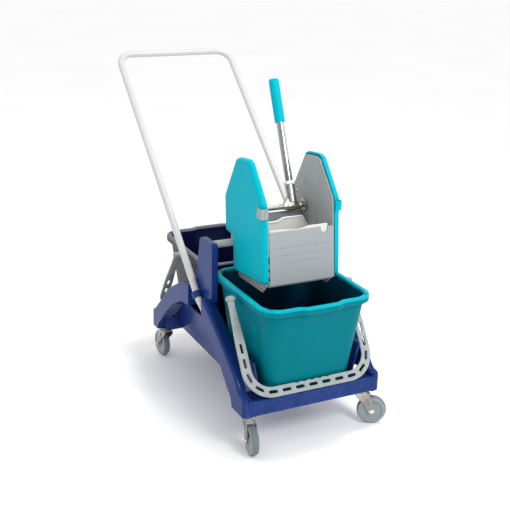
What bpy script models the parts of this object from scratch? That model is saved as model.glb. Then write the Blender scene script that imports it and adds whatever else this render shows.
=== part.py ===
# Twin-bucket mop trolley with an upright press wringer.
# Metres, +Z up, front of the trolley towards -Y. Every driving size is named here.
import math

import bmesh
import bpy
from mathutils import Matrix, Vector

for item in list(bpy.data.objects):
    bpy.data.objects.remove(item, do_unlink=True)

# ---- driving dimensions -------------------------------------------------------------
GAP = 0.0004                 # clearance kept between touching pieces

FRAME_X, FRAME_Y = 0.01567, 0.14550   # middle of the trolley's bounding box, seen from the chassis centre

HALF_W, HALF_L = 0.202, 0.330        # chassis outside
BASE_Z = 0.106                       # underside of the chassis
LEDGE_Z = 0.149                      # top of the front and rear ledges
POD_Z = 0.163                        # top of the corner pods
POD_IN = 0.178                       # inner side of the pods
ARCH_IN = 0.160                      # inner side of the arches
FLOOR_T = 0.006
WELL_HALF_W = 0.124

POST_IN, POST_OUT = 0.160, 0.178
POST_FOOT_Z, POST_TOP_Z = 0.3184, 0.485
RAIL_Y, RAIL_Z, RAIL_R = -0.030, 0.472, 0.0100   # rail the wringer hooks over

HANDLE_X, HANDLE_R = 0.1885, 0.0100
HANDLE_FOOT = Vector((0.0, -0.0340, 0.2865))
HANDLE_TOP = Vector((0.0, 0.6458, 0.8917))
HANDLE_BEND = 0.044
SLEEVE_Y, SLEEVE_R = 0.003, 0.0144

BUCKET_MID, BUCKET_HALF_L, BUCKET_HALF_W = 0.1845, 0.1590, 0.1475   # under the flange
BUCKET_Z0, BUCKET_Z1 = 0.1124, 0.396
BUCKET_DRAFT = 0.0440                # how far each end wall leans in down to the floor
BUCKET_SIDE_DRAFT = 0.0290           # the long walls stand steeper
BUCKET_WALL, BUCKET_FLANGE = 0.0030, 0.0115

BAIL_Z, BAIL_TILT = 0.376, math.radians(33.0)
BAIL_REACH, BAIL_X = 0.2540, 0.1765  # centre line of the strap
BAIL_W, BAIL_T, BAIL_BEND = 0.0270, 0.0060, 0.064

SHAFT_Y, SHAFT_Z, SHAFT_R = -0.073, 0.5695, 0.0075
LEVER_X, LEVER_LEAN = 0.0575, math.radians(22.65)
PLATE_IN, PLATE_OUT = 0.0935, 0.0965           # wringer side plates
COVER_IN, COVER_OUT, COVER_WALL = 0.0970, 0.1140, 0.0026
GEAR_MODULE, GEAR_TEETH = 0.005, 16
GEAR_IN, GEAR_OUT = 0.0990, 0.1090
JAW_Y = -0.094                                  # rear face of the press jaw at rest

CASTER_X, CASTER_Y = 0.170, 0.295
WHEEL_R, WHEEL_W, TRAIL = 0.040, 0.021, 0.030
CASTER_TURN = {                                  # which way each wheel trails, degrees from +X
    "front_left": -99.5,
    "front_right": -28.5,
    "rear_left": 93.0,
    "rear_right": 64.0,
}


# ---- helpers -----------------------------------------------------------------------
def material(name, colour, rough, metal=0.0):
    mat = bpy.data.materials.new(name)
    mat.use_nodes = True
    bsdf = mat.node_tree.nodes["Principled BSDF"]
    bsdf.inputs["Base Color"].default_value = (*colour, 1.0)
    bsdf.inputs["Roughness"].default_value = rough
    bsdf.inputs["Metallic"].default_value = metal
    return mat


BLUE = material("chassis_blue", (0.012, 0.036, 0.180), 0.30)
NAVY = material("bucket_navy", (0.004, 0.005, 0.035), 0.35)
TEAL = material("bucket_teal", (0.0, 0.200, 0.230), 0.35)
CYAN = material("cover_cyan", (0.0, 0.480, 0.560), 0.35)
GREY = material("wringer_grey", (0.420, 0.430, 0.440), 0.45)
WHITE = material("white_plastic", (0.700, 0.690, 0.660), 0.45)
BAIL_GREY = material("bail_grey", (0.500, 0.520, 0.520), 0.45)
TUBE = material("handle_white", (0.860, 0.860, 0.840), 0.30)
CHROME = material("chrome", (0.800, 0.800, 0.800), 0.12, 1.0)
STEEL = material("satin_steel", (0.500, 0.500, 0.500), 0.35, 1.0)
ZINC = material("zinc_steel", (0.440, 0.430, 0.380), 0.40, 1.0)
TREAD = material("wheel_grey", (0.260, 0.290, 0.310), 0.60)


def to_object(bm, name, mat, origin=(0.0, 0.0, 0.0), crease=35.0):
    """Turn a bmesh drawn in chassis coordinates into an object whose origin is `origin`."""
    bmesh.ops.remove_doubles(bm, verts=bm.verts, dist=1e-6)
    bmesh.ops.recalc_face_normals(bm, faces=bm.faces)
    bmesh.ops.translate(bm, verts=bm.verts, vec=-Vector(origin))
    mesh = bpy.data.meshes.new(name)
    bm.to_mesh(mesh)
    bm.free()
    mesh.shade_smooth()
    mesh.set_sharp_from_angle(angle=math.radians(crease))
    mesh.materials.append(mat)
    ob = bpy.data.objects.new(name, mesh)
    bpy.context.scene.collection.objects.link(ob)
    ob.location = Vector(origin) - Vector((FRAME_X, FRAME_Y, 0.0))
    return ob


def tool(bm, name, origin=(0.0, 0.0, 0.0)):
    ob = to_object(bm, name, GREY, origin)
    ob.hide_render = True
    ob.display_type = "WIRE"
    return ob


def boolean(ob, other, operation="DIFFERENCE"):
    mod = ob.modifiers.new(operation.lower(), "BOOLEAN")
    mod.operation = operation
    mod.solver = "EXACT"
    mod.object = other


def bevel(ob, width, segments=2, angle=40.0):
    mod = ob.modifiers.new("bevel", "BEVEL")
    mod.width = width
    mod.segments = segments
    mod.limit_method = "ANGLE"
    mod.angle_limit = math.radians(angle)


def add_box(bm, x, y, z):
    made = bmesh.ops.create_cube(bm, size=1.0)["verts"]
    for v in made:
        v.co = Vector(((x[0] + x[1]) / 2 + v.co.x * (x[1] - x[0]),
                       (y[0] + y[1]) / 2 + v.co.y * (y[1] - y[0]),
                       (z[0] + z[1]) / 2 + v.co.z * (z[1] - z[0])))
    return made


def add_prism(bm, outline, axis, lo, hi):
    """Closed prism of a flat outline. axis X takes (y, z) points, axis Y takes (x, z), axis Z takes (x, y)."""
    def point(p, h):
        return {"X": (h, p[0], p[1]), "Y": (p[0], h, p[1]), "Z": (p[0], p[1], h)}[axis]
    low = [bm.verts.new(point(p, lo)) for p in outline]
    high = [bm.verts.new(point(p, hi)) for p in outline]
    bm.faces.new(low)
    bm.faces.new(list(reversed(high)))
    for i in range(len(outline)):
        j = (i + 1) % len(outline)
        bm.faces.new((low[i], low[j], high[j], high[i]))


def add_loft(bm, rings, cap=True, loop=False):
    rows = [[bm.verts.new(p) for p in ring] for ring in rings]
    count = len(rows[0])
    pairs = list(zip(rows, rows[1:])) + ([(rows[-1], rows[0])] if loop else [])
    for a, b in pairs:
        for i in range(count):
            j = (i + 1) % count
            bm.faces.new((a[i], a[j], b[j], b[i]))
    if cap and not loop:
        bm.faces.new(list(reversed(rows[0])))
        bm.faces.new(rows[-1])


def axis_frame(direction):
    d = Vector(direction).normalized()
    side = Vector((1.0, 0.0, 0.0)) if abs(d.x) < 0.9 else Vector((0.0, 1.0, 0.0))
    u = d.cross(side).normalized()
    return d, u, d.cross(u)


def add_turned(bm, origin, direction, profile, sides=24, closed=False):
    """Turned piece: profile is (radius, distance along direction) pairs. A closed profile leaves a bore."""
    d, u, v = axis_frame(direction)
    rings = []
    for r, h in profile:
        centre = Vector(origin) + d * h
        rings.append([centre + u * (r * math.cos(2 * math.pi * k / sides))
                      + v * (r * math.sin(2 * math.pi * k / sides)) for k in range(sides)])
    add_loft(bm, rings, cap=not closed, loop=closed)


def turned(name, mat, origin, direction, profile, sides=24, closed=False, pivot=None):
    bm = bmesh.new()
    add_turned(bm, origin, direction, profile, sides, closed)
    return to_object(bm, name, mat, pivot if pivot is not None else origin)


def ring_profile(r_in, r_out, h0, h1):
    return [(r_in, h0), (r_out, h0), (r_out, h1), (r_in, h1)]


def add_sweep(bm, path, normal, section):
    """Sweep a closed section along a flat path. section pairs are (across the path in its plane, along normal)."""
    rings = []
    for i, p in enumerate(path):
        a = path[max(i - 1, 0)]
        b = path[min(i + 1, len(path) - 1)]
        along = (b - a).normalized()
        side = along.cross(normal).normalized()
        rings.append([p + side * s + normal * n for s, n in section])
    add_loft(bm, rings)


def circle(r, sides):
    return [(r * math.cos(2 * math.pi * k / sides), r * math.sin(2 * math.pi * k / sides)) for k in range(sides)]


def loop_path(foot, top, half, bend, steps):
    """A U: up from foot at -half, across at top, down to foot at +half, with round bends."""
    up = (top - foot).normalized()
    across = Vector((1.0, 0.0, 0.0))
    points = [foot - across * half]
    centre = top - up * bend - across * (half - bend)
    for k in range(steps + 1):
        a = math.pi / 2 * k / steps
        points.append(centre - across * (bend * math.cos(a)) + up * (bend * math.sin(a)))
    mirrored = [Vector((-p.x, p.y, p.z)) for p in reversed(points)]
    return points + mirrored


def blend_line(knots, y):
    for (y0, z0), (y1, z1) in zip(knots, knots[1:]):
        if y <= y1:
            t = max(0.0, min(1.0, (y - y0) / (y1 - y0)))
            return z0 + (z1 - z0) * t
    return knots[-1][1]


def smooth_step(a, b, x):
    t = max(0.0, min(1.0, (x - a) / (b - a)))
    return t * t * (3 - 2 * t)


SIDES = (("left", -1.0), ("right", 1.0))

# ---- chassis: tray between two arched side frames ------------------------------------------
def chassis_tray():
    bm = bmesh.new()
    add_box(bm, (-WELL_HALF_W - 0.004, WELL_HALF_W + 0.004), (-0.312, 0.312), (BASE_Z, BASE_Z + FLOOR_T))
    tray = to_object(bm, "chassis_tray", BLUE)
    parts = bmesh.new()
    for sign in (-1.0, 1.0):
        wall = [(sign * x, z) for x, z in ((WELL_HALF_W, BASE_Z + 0.001), (WELL_HALF_W + 0.005, BASE_Z + 0.001),
                                           (0.1590, 0.236), (0.1545, 0.236))]
        add_prism(parts, wall, "Y", -0.290, 0.290)
        bar = sorted((sign * 0.310, sign * HALF_L))
        ledge = bmesh.new()
        add_box(ledge, (-POD_IN + GAP, POD_IN - GAP), bar, (BASE_Z, LEDGE_Z))
        boolean(tray, tool(ledge, "tool_ledge"), "UNION")
        for end in (-1.0, 1.0):
            pad = bmesh.new()
            add_box(pad, sorted((sign * 0.1235, sign * (POD_IN - GAP))), sorted((end * 0.262, end * 0.320)),
                    (BASE_Z, LEDGE_Z - 0.004))
            boolean(tray, tool(pad, "tool_pad"), "UNION")
    boolean(tray, tool(parts, "tool_well_walls"), "UNION")
    ridge = bmesh.new()
    add_prism(ridge, [(-0.026, BASE_Z + 0.001), (0.026, BASE_Z + 0.001), (0.016, 0.140), (-0.016, 0.140)], "X", -0.125, 0.125)
    boolean(tray, tool(ridge, "tool_ridge"), "UNION")
    return tray


ARCH_TOP = [(-0.330, 0.1570), (-0.322, 0.1625), (-0.300, POD_Z), (-0.292, 0.1700), (-0.2712, 0.1990),
            (-0.190, 0.2560), (-0.110, 0.3060), (-0.0523, 0.3352), (-0.010, 0.3440), (0.0361, 0.3441),
            (0.080, 0.3340), (0.117, 0.3180), (0.182, 0.2820), (0.222, 0.2480), (0.252, 0.2190),
            (0.289, 0.1880), (0.305, 0.1700), (0.322, 0.1630), (0.330, 0.1570)]
ARCH_LOW = [(-0.330, BASE_Z), (-0.2580, BASE_Z), (-0.2506, 0.1290), (-0.2232, 0.1520), (-0.159, 0.2125),
            (-0.110, 0.2460), (-0.0584, 0.2745), (0.020, 0.2800), (0.0915, 0.2700), (0.164, 0.2310),
            (0.2188, 0.1840), (0.262, 0.1400), (0.2764, 0.1287), (0.2840, BASE_Z), (0.330, BASE_Z)]


def side_frame(side, sign):
    stations = sorted({y for y, _ in ARCH_TOP} | {y for y, _ in ARCH_LOW} | {-0.240, 0.240})
    rings = []
    for y in stations:
        top, low = blend_line(ARCH_TOP, y), blend_line(ARCH_LOW, y)
        mid = 1.0 - smooth_step(0.215, 0.262, abs(y))
        inner = POD_IN - (POD_IN - ARCH_IN) * mid
        low_in = max(low, LEDGE_Z + 0.002) if mid > 0.0 else low
        drop = 0.002 + 0.012 * mid
        end = 0.004 if abs(y) > 0.329 else 0.0
        section = [(HALF_W - end, low), (HALF_W - end, top - 0.008), (HALF_W - 0.0022 - end, top - 0.0022),
                   (HALF_W - 0.0075, top), ((HALF_W + inner) / 2, top - drop * 0.35),
                   (inner + 0.004, top - drop), (inner, top - drop - 0.004), (inner, low_in)]
        rings.append([Vector((sign * x, y, z)) for x, z in section])
    bm = bmesh.new()
    add_loft(bm, rings)
    frame = to_object(bm, "side_frame_" + side, BLUE, crease=30.0)
    recess = bmesh.new()
    add_box(recess, sorted((sign * 0.1738, sign * 0.215)), (-0.0550, 0.0380), (0.200, 0.400))
    boolean(frame, tool(recess, "tool_recess_" + side))
    seat = bmesh.new()
    add_box(seat, sorted((sign * 0.150, sign * (POST_OUT + GAP))), (-0.0710, 0.0390), (POST_FOOT_Z - GAP, 0.400))
    boolean(frame, tool(seat, "tool_post_seat_" + side))
    leg = (HANDLE_TOP - HANDLE_FOOT).normalized()
    groove = bmesh.new()
    add_turned(groove, HANDLE_FOOT + Vector((sign * HANDLE_X, 0, 0)), leg,
               [(HANDLE_R + 0.0012, -0.02), (HANDLE_R + 0.0012, 0.20)], 20)
    boolean(frame, tool(groove, "tool_groove_" + side))
    return frame


POST_OUTLINE = [(-0.0700, POST_FOOT_Z), (0.0380, POST_FOOT_Z), (0.0360, 0.370), (0.0250, 0.420), (0.0130, 0.478),
                (0.0060, POST_TOP_Z), (-0.0620, POST_TOP_Z), (-0.0690, 0.478), (-0.0700, 0.420)]


def post(side, sign):
    bm = bmesh.new()
    add_prism(bm, POST_OUTLINE, "X", *sorted((sign * POST_IN, sign * POST_OUT)))
    ob = to_object(bm, "post_" + side, BLUE)
    bevel(ob, 0.003)
    hole = bmesh.new()
    add_turned(hole, (sign * 0.150, RAIL_Y, RAIL_Z - 0.0), (sign, 0, 0),
               [(RAIL_R + GAP, 0.0), (RAIL_R + GAP, 0.0245)], 20)
    boolean(ob, tool(hole, "tool_rail_hole_" + side))
    leg = (HANDLE_TOP - HANDLE_FOOT).normalized()
    foot = HANDLE_FOOT + Vector((sign * HANDLE_X, 0, 0))
    at = foot + leg * ((SLEEVE_Y - foot.y) / leg.y)
    saddle = bmesh.new()
    add_turned(saddle, at - leg * 0.0108, leg, [(SLEEVE_R + GAP, 0.0), (SLEEVE_R + GAP, 0.0216)], 20)
    boolean(ob, tool(saddle, "tool_saddle_" + side))
    return ob


chassis_tray()
for side_name, s in SIDES:
    side_frame(side_name, s)
    post(side_name, s)
turned("support_rail", TUBE, (-0.174, RAIL_Y, RAIL_Z), (1, 0, 0), [(RAIL_R, 0.0), (RAIL_R, 0.348)], 20)

# ---- push handle ------------------------------------------------------------------------
leg_dir = (HANDLE_TOP - HANDLE_FOOT).normalized()
handle_normal = Vector((1.0, 0.0, 0.0)).cross(leg_dir).normalized()
bm_handle = bmesh.new()
add_sweep(bm_handle, loop_path(HANDLE_FOOT, HANDLE_TOP, HANDLE_X, HANDLE_BEND, 8), handle_normal, circle(HANDLE_R, 14))
to_object(bm_handle, "push_handle", TUBE, HANDLE_FOOT)
for side_name, s in SIDES:
    foot = HANDLE_FOOT + Vector((s * HANDLE_X, 0, 0))
    turned("handle_plug_" + side_name, WHITE, foot - leg_dir * GAP, -leg_dir,
           [(HANDLE_R - 0.0006, 0.0), (HANDLE_R - 0.0006, 0.002), (0.0055, 0.013)], 14)
    at = foot + leg_dir * ((SLEEVE_Y - foot.y) / leg_dir.y)
    turned("handle_sleeve_" + side_name, BLUE, at - leg_dir * 0.010, leg_dir,
           ring_profile(HANDLE_R + GAP, SLEEVE_R, 0.0, 0.020), 20, closed=True)


# ---- buckets ----------------------------------------------------------------------------
def bucket_ring(front, half_w, half_l, radius, z, spout):
    """Rounded rectangle, with the pouring lip's bulge in the middle of its outer end."""
    points = []
    corners = ((1, 1), (-1, 1), (-1, -1), (1, -1))
    for index, (cx, cy) in enumerate(corners):
        centre = Vector((cx * (half_w - radius), cy * (half_l - radius), 0.0))
        for k in range(6):
            a = math.pi / 2 * (index + k / 5)
            points.append(centre + Vector((math.cos(a), math.sin(a), 0.0)) * radius)
        if index == 2:
            for k in range(1, 8):
                x = -0.052 + 0.104 * k / 8
                bulge = spout * (0.5 + 0.5 * math.cos(math.pi * x / 0.052))
                points.append(Vector((x, -half_l - bulge, 0.0)))
    ring = [Vector((p.x, p.y - BUCKET_MID, z)) for p in points]
    return ring if front else [Vector((-p.x, -p.y, p.z)) for p in ring]


def bucket(name, mat, front):
    bm = bmesh.new()
    tall = BUCKET_Z1 - 0.012 - BUCKET_Z0

    # (distance out from the wall, height, share of the pouring lip)
    profile = [(-0.006, BUCKET_Z0, 0.0), (0.0, BUCKET_Z0 + 0.006, 0.0), (0.0, 0.330, 0.0), (0.0, 0.384, 0.009),
               (0.0085, 0.3845, 0.009), (0.0085, 0.3780, 0.009), (BUCKET_FLANGE, 0.3780, 0.009),
               (BUCKET_FLANGE, 0.3940, 0.009), (0.0098, BUCKET_Z1, 0.009), (-BUCKET_WALL + 0.001, BUCKET_Z1, 0.009),
               (-BUCKET_WALL, 0.3945, 0.009), (-BUCKET_WALL, 0.330, 0.0),
               (-BUCKET_WALL, BUCKET_Z0 + 0.009, 0.0), (-BUCKET_WALL - 0.005, BUCKET_Z0 + 0.004, 0.0)]
    rings = []
    for out, z, spout in profile:
        lean = 1.0 - (min(z, BUCKET_Z1 - 0.012) - BUCKET_Z0) / tall
        rings.append(bucket_ring(front, BUCKET_HALF_W + out - BUCKET_SIDE_DRAFT * lean,
                                 BUCKET_HALF_L + out - BUCKET_DRAFT * lean, 0.042 + out * 0.6 - 0.012 * lean, z, spout))
    add_loft(bm, rings)
    sign_y = -1.0 if front else 1.0
    ob = to_object(bm, name, mat, (0.0, sign_y * BUCKET_MID, BUCKET_Z0))
    for side, sx in SIDES:
        boss = bmesh.new()
        add_turned(boss, (sx * 0.1455, sign_y * BUCKET_MID, BAIL_Z), (sx, 0, 0),
                   [(0.0095, 0.0), (0.0095, 0.0170)], 16)
        boolean(ob, tool(boss, "tool_boss_" + name + side), "UNION")
    for side, sx in SIDES:
        hole = bmesh.new()
        add_turned(hole, (sx * 0.1500, sign_y * BUCKET_MID, BAIL_Z), (sx, 0, 0),
                   [(0.0040 + GAP, 0.0), (0.0040 + GAP, 0.0200)], 12)
        boolean(ob, tool(hole, "tool_pin_hole_" + name + side))
    return ob


def bail(name, front):
    """Flat strap bent into a loop. It leans out and rests just over the chassis ledge."""
    sy = -1.0 if front else 1.0
    pivot = Vector((0.0, sy * BUCKET_MID, BAIL_Z))
    down = Vector((0.0, sy * math.sin(BAIL_TILT), -math.cos(BAIL_TILT)))
    normal = Vector((1.0, 0.0, 0.0)).cross(down).normalized()
    path = loop_path(pivot - down * 0.002, pivot + down * BAIL_REACH, BAIL_X, BAIL_BEND, 9)
    half, thin = BAIL_W / 2, BAIL_T / 2
    section = [(-half, -thin * 0.5), (-half + 0.0015, -thin), (half - 0.0015, -thin), (half, -thin * 0.5),
               (half, thin * 0.5), (half - 0.0015, thin), (-half + 0.0015, thin), (-half, thin * 0.5)]
    bm = bmesh.new()
    add_sweep(bm, path, normal, section)
    ob = to_object(bm, name, BAIL_GREY, pivot)
    for side, sx in SIDES:
        barrel = bmesh.new()
        add_turned(barrel, (sx * (BAIL_X - half + 0.0003), pivot.y, BAIL_Z), (sx, 0, 0),
                   [(0.0085, 0.0), (0.0085, BAIL_W - 0.0006)], 16)
        boolean(ob, tool(barrel, "tool_barrel_" + name + side), "UNION")
    for side, sx in SIDES:
        bore = bmesh.new()
        add_turned(bore, (sx * 0.155, pivot.y, BAIL_Z), (sx, 0, 0), [(0.0040 + GAP, 0.0), (0.0040 + GAP, 0.045)], 12)
        boolean(ob, tool(bore, "tool_bore_" + name + side))
    # slots follow the strap's middle line, round the bends and along the bottom
    slots = bmesh.new()
    lengths = [0.0]
    for a, b in zip(path, path[1:]):
        lengths.append(lengths[-1] + (b - a).length)
    total = lengths[-1]
    pitch, long, wide = 0.0388, 0.0235, 0.0072
    count = 2 * int((total - 0.230) / pitch / 2)
    for k in range(count):
        d = total / 2 + (k - (count - 1) / 2) * pitch
        i = max(j for j in range(len(path) - 1) if lengths[j] <= d)
        t = (d - lengths[i]) / (lengths[i + 1] - lengths[i])
        middle = path[i].lerp(path[i + 1], t)
        along = (path[i + 1] - path[i]).normalized()
        side_dir = along.cross(normal)
        ring = [middle + along * (long / 2 * a) + side_dir * (wide / 2 * b)
                for a, b in ((-1, -0.5), (-0.7, -1), (0.7, -1), (1, -0.5), (1, 0.5), (0.7, 1), (-0.7, 1), (-1, 0.5))]
        add_loft(slots, [[p - normal * 0.02 for p in ring], [p + normal * 0.02 for p in ring]])
    boolean(ob, tool(slots, "tool_slots_" + name))
    for side, sx in SIDES:
        turned(name + "_pin_" + side, ZINC, (sx * 0.1512, pivot.y, BAIL_Z), (sx, 0, 0),
               [(0.0040, 0.0), (0.0040, 0.0394), (0.0070, 0.0394), (0.0070, 0.0412), (0.0050, 0.0424)], 12)
    return ob


bucket("front_bucket", TEAL, True)
bucket("rear_bucket", NAVY, False)
bail("front_bail", True)
bail("rear_bail", False)

# ---- wringer: frame -----------------------------------------------------------------------
EAR = [(-0.2440, 0.4230), (-0.0600, 0.4040), (-0.0540, 0.4980), (-0.0070, 0.5010), (0.0010, 0.6000),
       (-0.0650, 0.7120), (-0.0800, 0.7180), (-0.1330, 0.7230), (-0.1490, 0.7180), (-0.2250, 0.6280)]


def inset_outline(outline, amount):
    """Move every edge of a simple outline inwards."""
    n = len(outline)
    area = sum(outline[i][0] * outline[(i + 1) % n][1] - outline[(i + 1) % n][0] * outline[i][1] for i in range(n))
    turn = 1.0 if area > 0 else -1.0
    result = []
    for i in range(n):
        p0, p1, p2 = (Vector(outline[j % n]) for j in (i - 1, i, i + 1))
        e0, e1 = (p1 - p0).normalized(), (p2 - p1).normalized()
        n0, n1 = Vector((-e0.y, e0.x)) * turn, Vector((-e1.y, e1.x)) * turn
        corner = (n0 + n1) / max(0.3, 1.0 + n0.dot(n1))
        result.append(tuple(p1 + corner * amount))
    return result


def hook_points():
    """The slot in a side plate's rear edge that drops over the support rail."""
    r = RAIL_R + 0.0005
    arc = [(RAIL_Y + r * math.cos(math.pi * k / 6), RAIL_Z + r * math.sin(math.pi * k / 6)) for k in range(7)]
    return [(RAIL_Y + r, 0.4560)] + arc + [(RAIL_Y - r, 0.4560)]


def side_plate(side, sign):
    body = [(-0.2340, 0.4160), (-0.2100, 0.3900), (-0.0700, 0.3860), (-0.0580, 0.4000), (-0.0560, 0.4480),
            (-0.0470, 0.4560)]
    body += list(reversed(hook_points()))
    body += [(-0.0130, 0.4560), (-0.0105, 0.5030), (-0.0025, 0.5985), (-0.0670, 0.7085), (-0.0810, 0.7145),
             (-0.1320, 0.7190), (-0.1470, 0.7145), (-0.2215, 0.6265), (-0.2285, 0.5600)]
    body = [p for i, p in enumerate(body) if i == 0 or p != body[i - 1]]
    lo, hi = sorted((sign * PLATE_IN, sign * PLATE_OUT))
    bm = bmesh.new()
    add_prism(bm, body, "X", lo, hi)
    ob = to_object(bm, "side_plate_" + side, GREY)
    hole = bmesh.new()
    add_turned(hole, (sign * 0.080, SHAFT_Y, SHAFT_Z), (sign, 0, 0), [(0.0145, 0.0), (0.0145, 0.030)], 20)
    boolean(ob, tool(hole, "tool_bush_hole_" + side))
    slot = bmesh.new()
    add_box(slot, sorted((sign * 0.090, sign * 0.100)), (-0.1600, -0.0880), (0.5130, 0.5250))
    boolean(ob, tool(slot, "tool_rack_slot_" + side))
    return ob


def cover(side, sign):
    bm = bmesh.new()
    add_prism(bm, EAR, "X", *sorted((sign * COVER_IN, sign * COVER_OUT)))
    ob = to_object(bm, "cover_" + side, CYAN)
    bevel(ob, 0.002)
    hollow = bmesh.new()
    add_prism(hollow, inset_outline(EAR, COVER_WALL), "X",
              *sorted((sign * (COVER_IN - 0.005), sign * (COVER_OUT - COVER_WALL))))
    boolean(ob, tool(hollow, "tool_cover_hollow_" + side))
    return ob


def clip(side, sign):
    bm = bmesh.new()
    outline = [(0.1144, -0.2080), (0.1170, -0.2080), (0.1170, -0.2316), (0.0990, -0.2316), (0.0990, -0.2290),
               (0.1144, -0.2290)]
    add_prism(bm, [(sign * x, y) for x, y in outline], "Z", 0.5930, 0.6190)
    return to_object(bm, "cover_clip_" + side, GREY)


def front_y(z):
    """The front plate leans back a little."""
    return -0.2466 + (z - 0.420) * 0.1066


def leaning_plate(name, mat, half, z0, z1, back, thick, tab=False):
    bm = bmesh.new()
    add_prism(bm, [(front_y(z0) + back, z0), (front_y(z0) + back + thick, z0),
                   (front_y(z1) + back + thick, z1), (front_y(z1) + back, z1)], "X", -half, half)
    ob = to_object(bm, name, mat)
    if tab:
        ear = bmesh.new()
        y0 = front_y(z1) + back
        outline = [(0.073 + 0.012 * math.cos(math.pi * k / 8), z1 - 0.006 + 0.014 * math.sin(math.pi * k / 8))
                   for k in range(9)]
        add_prism(ear, outline, "Y", y0 - 0.0002, y0 + thick)
        boolean(ob, tool(ear, "tool_tab"), "UNION")
    return ob


for side_name, s in SIDES:
    side_plate(side_name, s)
    cover(side_name, s)
    clip(side_name, s)
    turned("shaft_bush_" + side_name, STEEL, (s * 0.0881, SHAFT_Y, SHAFT_Z), (s, 0, 0),
           [(SHAFT_R + GAP, 0.0), (0.0190, 0.0), (0.0190, 0.0050), (0.0141, 0.0050), (0.0141, 0.0094),
            (SHAFT_R + GAP, 0.0094)], 24, closed=True)
leaning_plate("front_plate", GREY, PLATE_IN - GAP, 0.4200, 0.5560, 0.0, 0.0030)
leaning_plate("front_liner", WHITE, 0.0900, 0.4350, 0.5600, 0.0034, 0.0026, tab=True)
bm_back = bmesh.new()
add_box(bm_back, (-PLATE_IN + GAP, PLATE_IN - GAP), (-0.0610, -0.0580), (0.4200, 0.5530))
to_object(bm_back, "back_plate", GREY)
bm_floor = bmesh.new()
add_prism(bm_floor, [(-0.2370, 0.4150), (-0.0670, 0.4290), (-0.0670, 0.4260), (-0.2370, 0.4120)], "X",
          -PLATE_IN + GAP, PLATE_IN - GAP)
drain = to_object(bm_floor, "drain_floor", GREY)
drain_slots = bmesh.new()
for k in range(7):
    x = -0.072 + 0.024 * k
    add_box(drain_slots, (x - 0.004, x + 0.004), (-0.215, -0.090), (0.400, 0.440))
boolean(drain, tool(drain_slots, "tool_drain_slots"))

# ---- wringer: lever, shaft, gears and press jaw ----------------------------------------------
shaft_at = Vector((LEVER_X, SHAFT_Y, SHAFT_Z))
lever_dir = Vector((0.0, math.sin(LEVER_LEAN), math.cos(LEVER_LEAN)))
turned("cross_shaft", STEEL, (-0.1100, SHAFT_Y, SHAFT_Z), (1, 0, 0), [(SHAFT_R, 0.0), (SHAFT_R, 0.2200)], 20,
       pivot=shaft_at)

bm_socket = bmesh.new()
add_turned(bm_socket, (0.0400, SHAFT_Y, SHAFT_Z), (1, 0, 0), [(0.0125, 0.0), (0.0125, 0.043)], 20)
socket = to_object(bm_socket, "lever_socket", STEEL, shaft_at)
stem = bmesh.new()
add_turned(stem, shaft_at, lever_dir, [(0.0136, 0.0), (0.0136, 0.0575)], 20)
boolean(socket, tool(stem, "tool_socket_stem"), "UNION")
bore = bmesh.new()
add_turned(bore, (0.0300, SHAFT_Y, SHAFT_Z), (1, 0, 0), [(SHAFT_R + GAP, 0.0), (SHAFT_R + GAP, 0.060)], 20)
boolean(socket, tool(bore, "tool_socket_bore"))

turned("lever_collar", WHITE, shaft_at, lever_dir, ring_profile(0.0110 + GAP, 0.0150, 0.0579, 0.0665), 20, True)
turned("lever_tube", CHROME, shaft_at, lever_dir, [(0.0110, 0.0579), (0.0110, 0.3230)], 18)
turned("lever_grip", CYAN, shaft_at, lever_dir,
       [(0.0110 + GAP, 0.2275), (0.0132, 0.2275), (0.0138, 0.2290), (0.0141, 0.2850), (0.0138, 0.3400),
        (0.0122, 0.3452), (0.0085, 0.3472), (0.0004, 0.3475), (0.0004, 0.3236), (0.0110 + GAP, 0.3234)], 20, True)

PITCH_R = GEAR_MODULE * GEAR_TEETH / 2
TOOTH_HALF = 0.0029


def pinion(side, sign):
    outline = []
    for k in range(GEAR_TEETH):
        centre = -math.pi / 2 + 2 * math.pi * (k + 0.5) / GEAR_TEETH
        for r, half in ((PITCH_R - 0.0062, 0.0046), (PITCH_R, TOOTH_HALF), (PITCH_R + 0.0046, 0.0012),
                        (PITCH_R + 0.0046, -0.0012), (PITCH_R, -TOOTH_HALF), (PITCH_R - 0.0062, -0.0046)):
            a = centre - half / r
            outline.append((SHAFT_Y + r * math.cos(a), SHAFT_Z + r * math.sin(a)))
    bm = bmesh.new()
    add_prism(bm, outline, "X", *sorted((sign * GEAR_IN, sign * GEAR_OUT)))
    ob = to_object(bm, "pinion_" + side, WHITE, shaft_at)
    hole = bmesh.new()
    add_turned(hole, (sign * 0.090, SHAFT_Y, SHAFT_Z), (sign, 0, 0), [(SHAFT_R + GAP, 0.0), (SHAFT_R + GAP, 0.03)], 20)
    boolean(ob, tool(hole, "tool_pinion_hole_" + side))
    return ob


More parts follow.
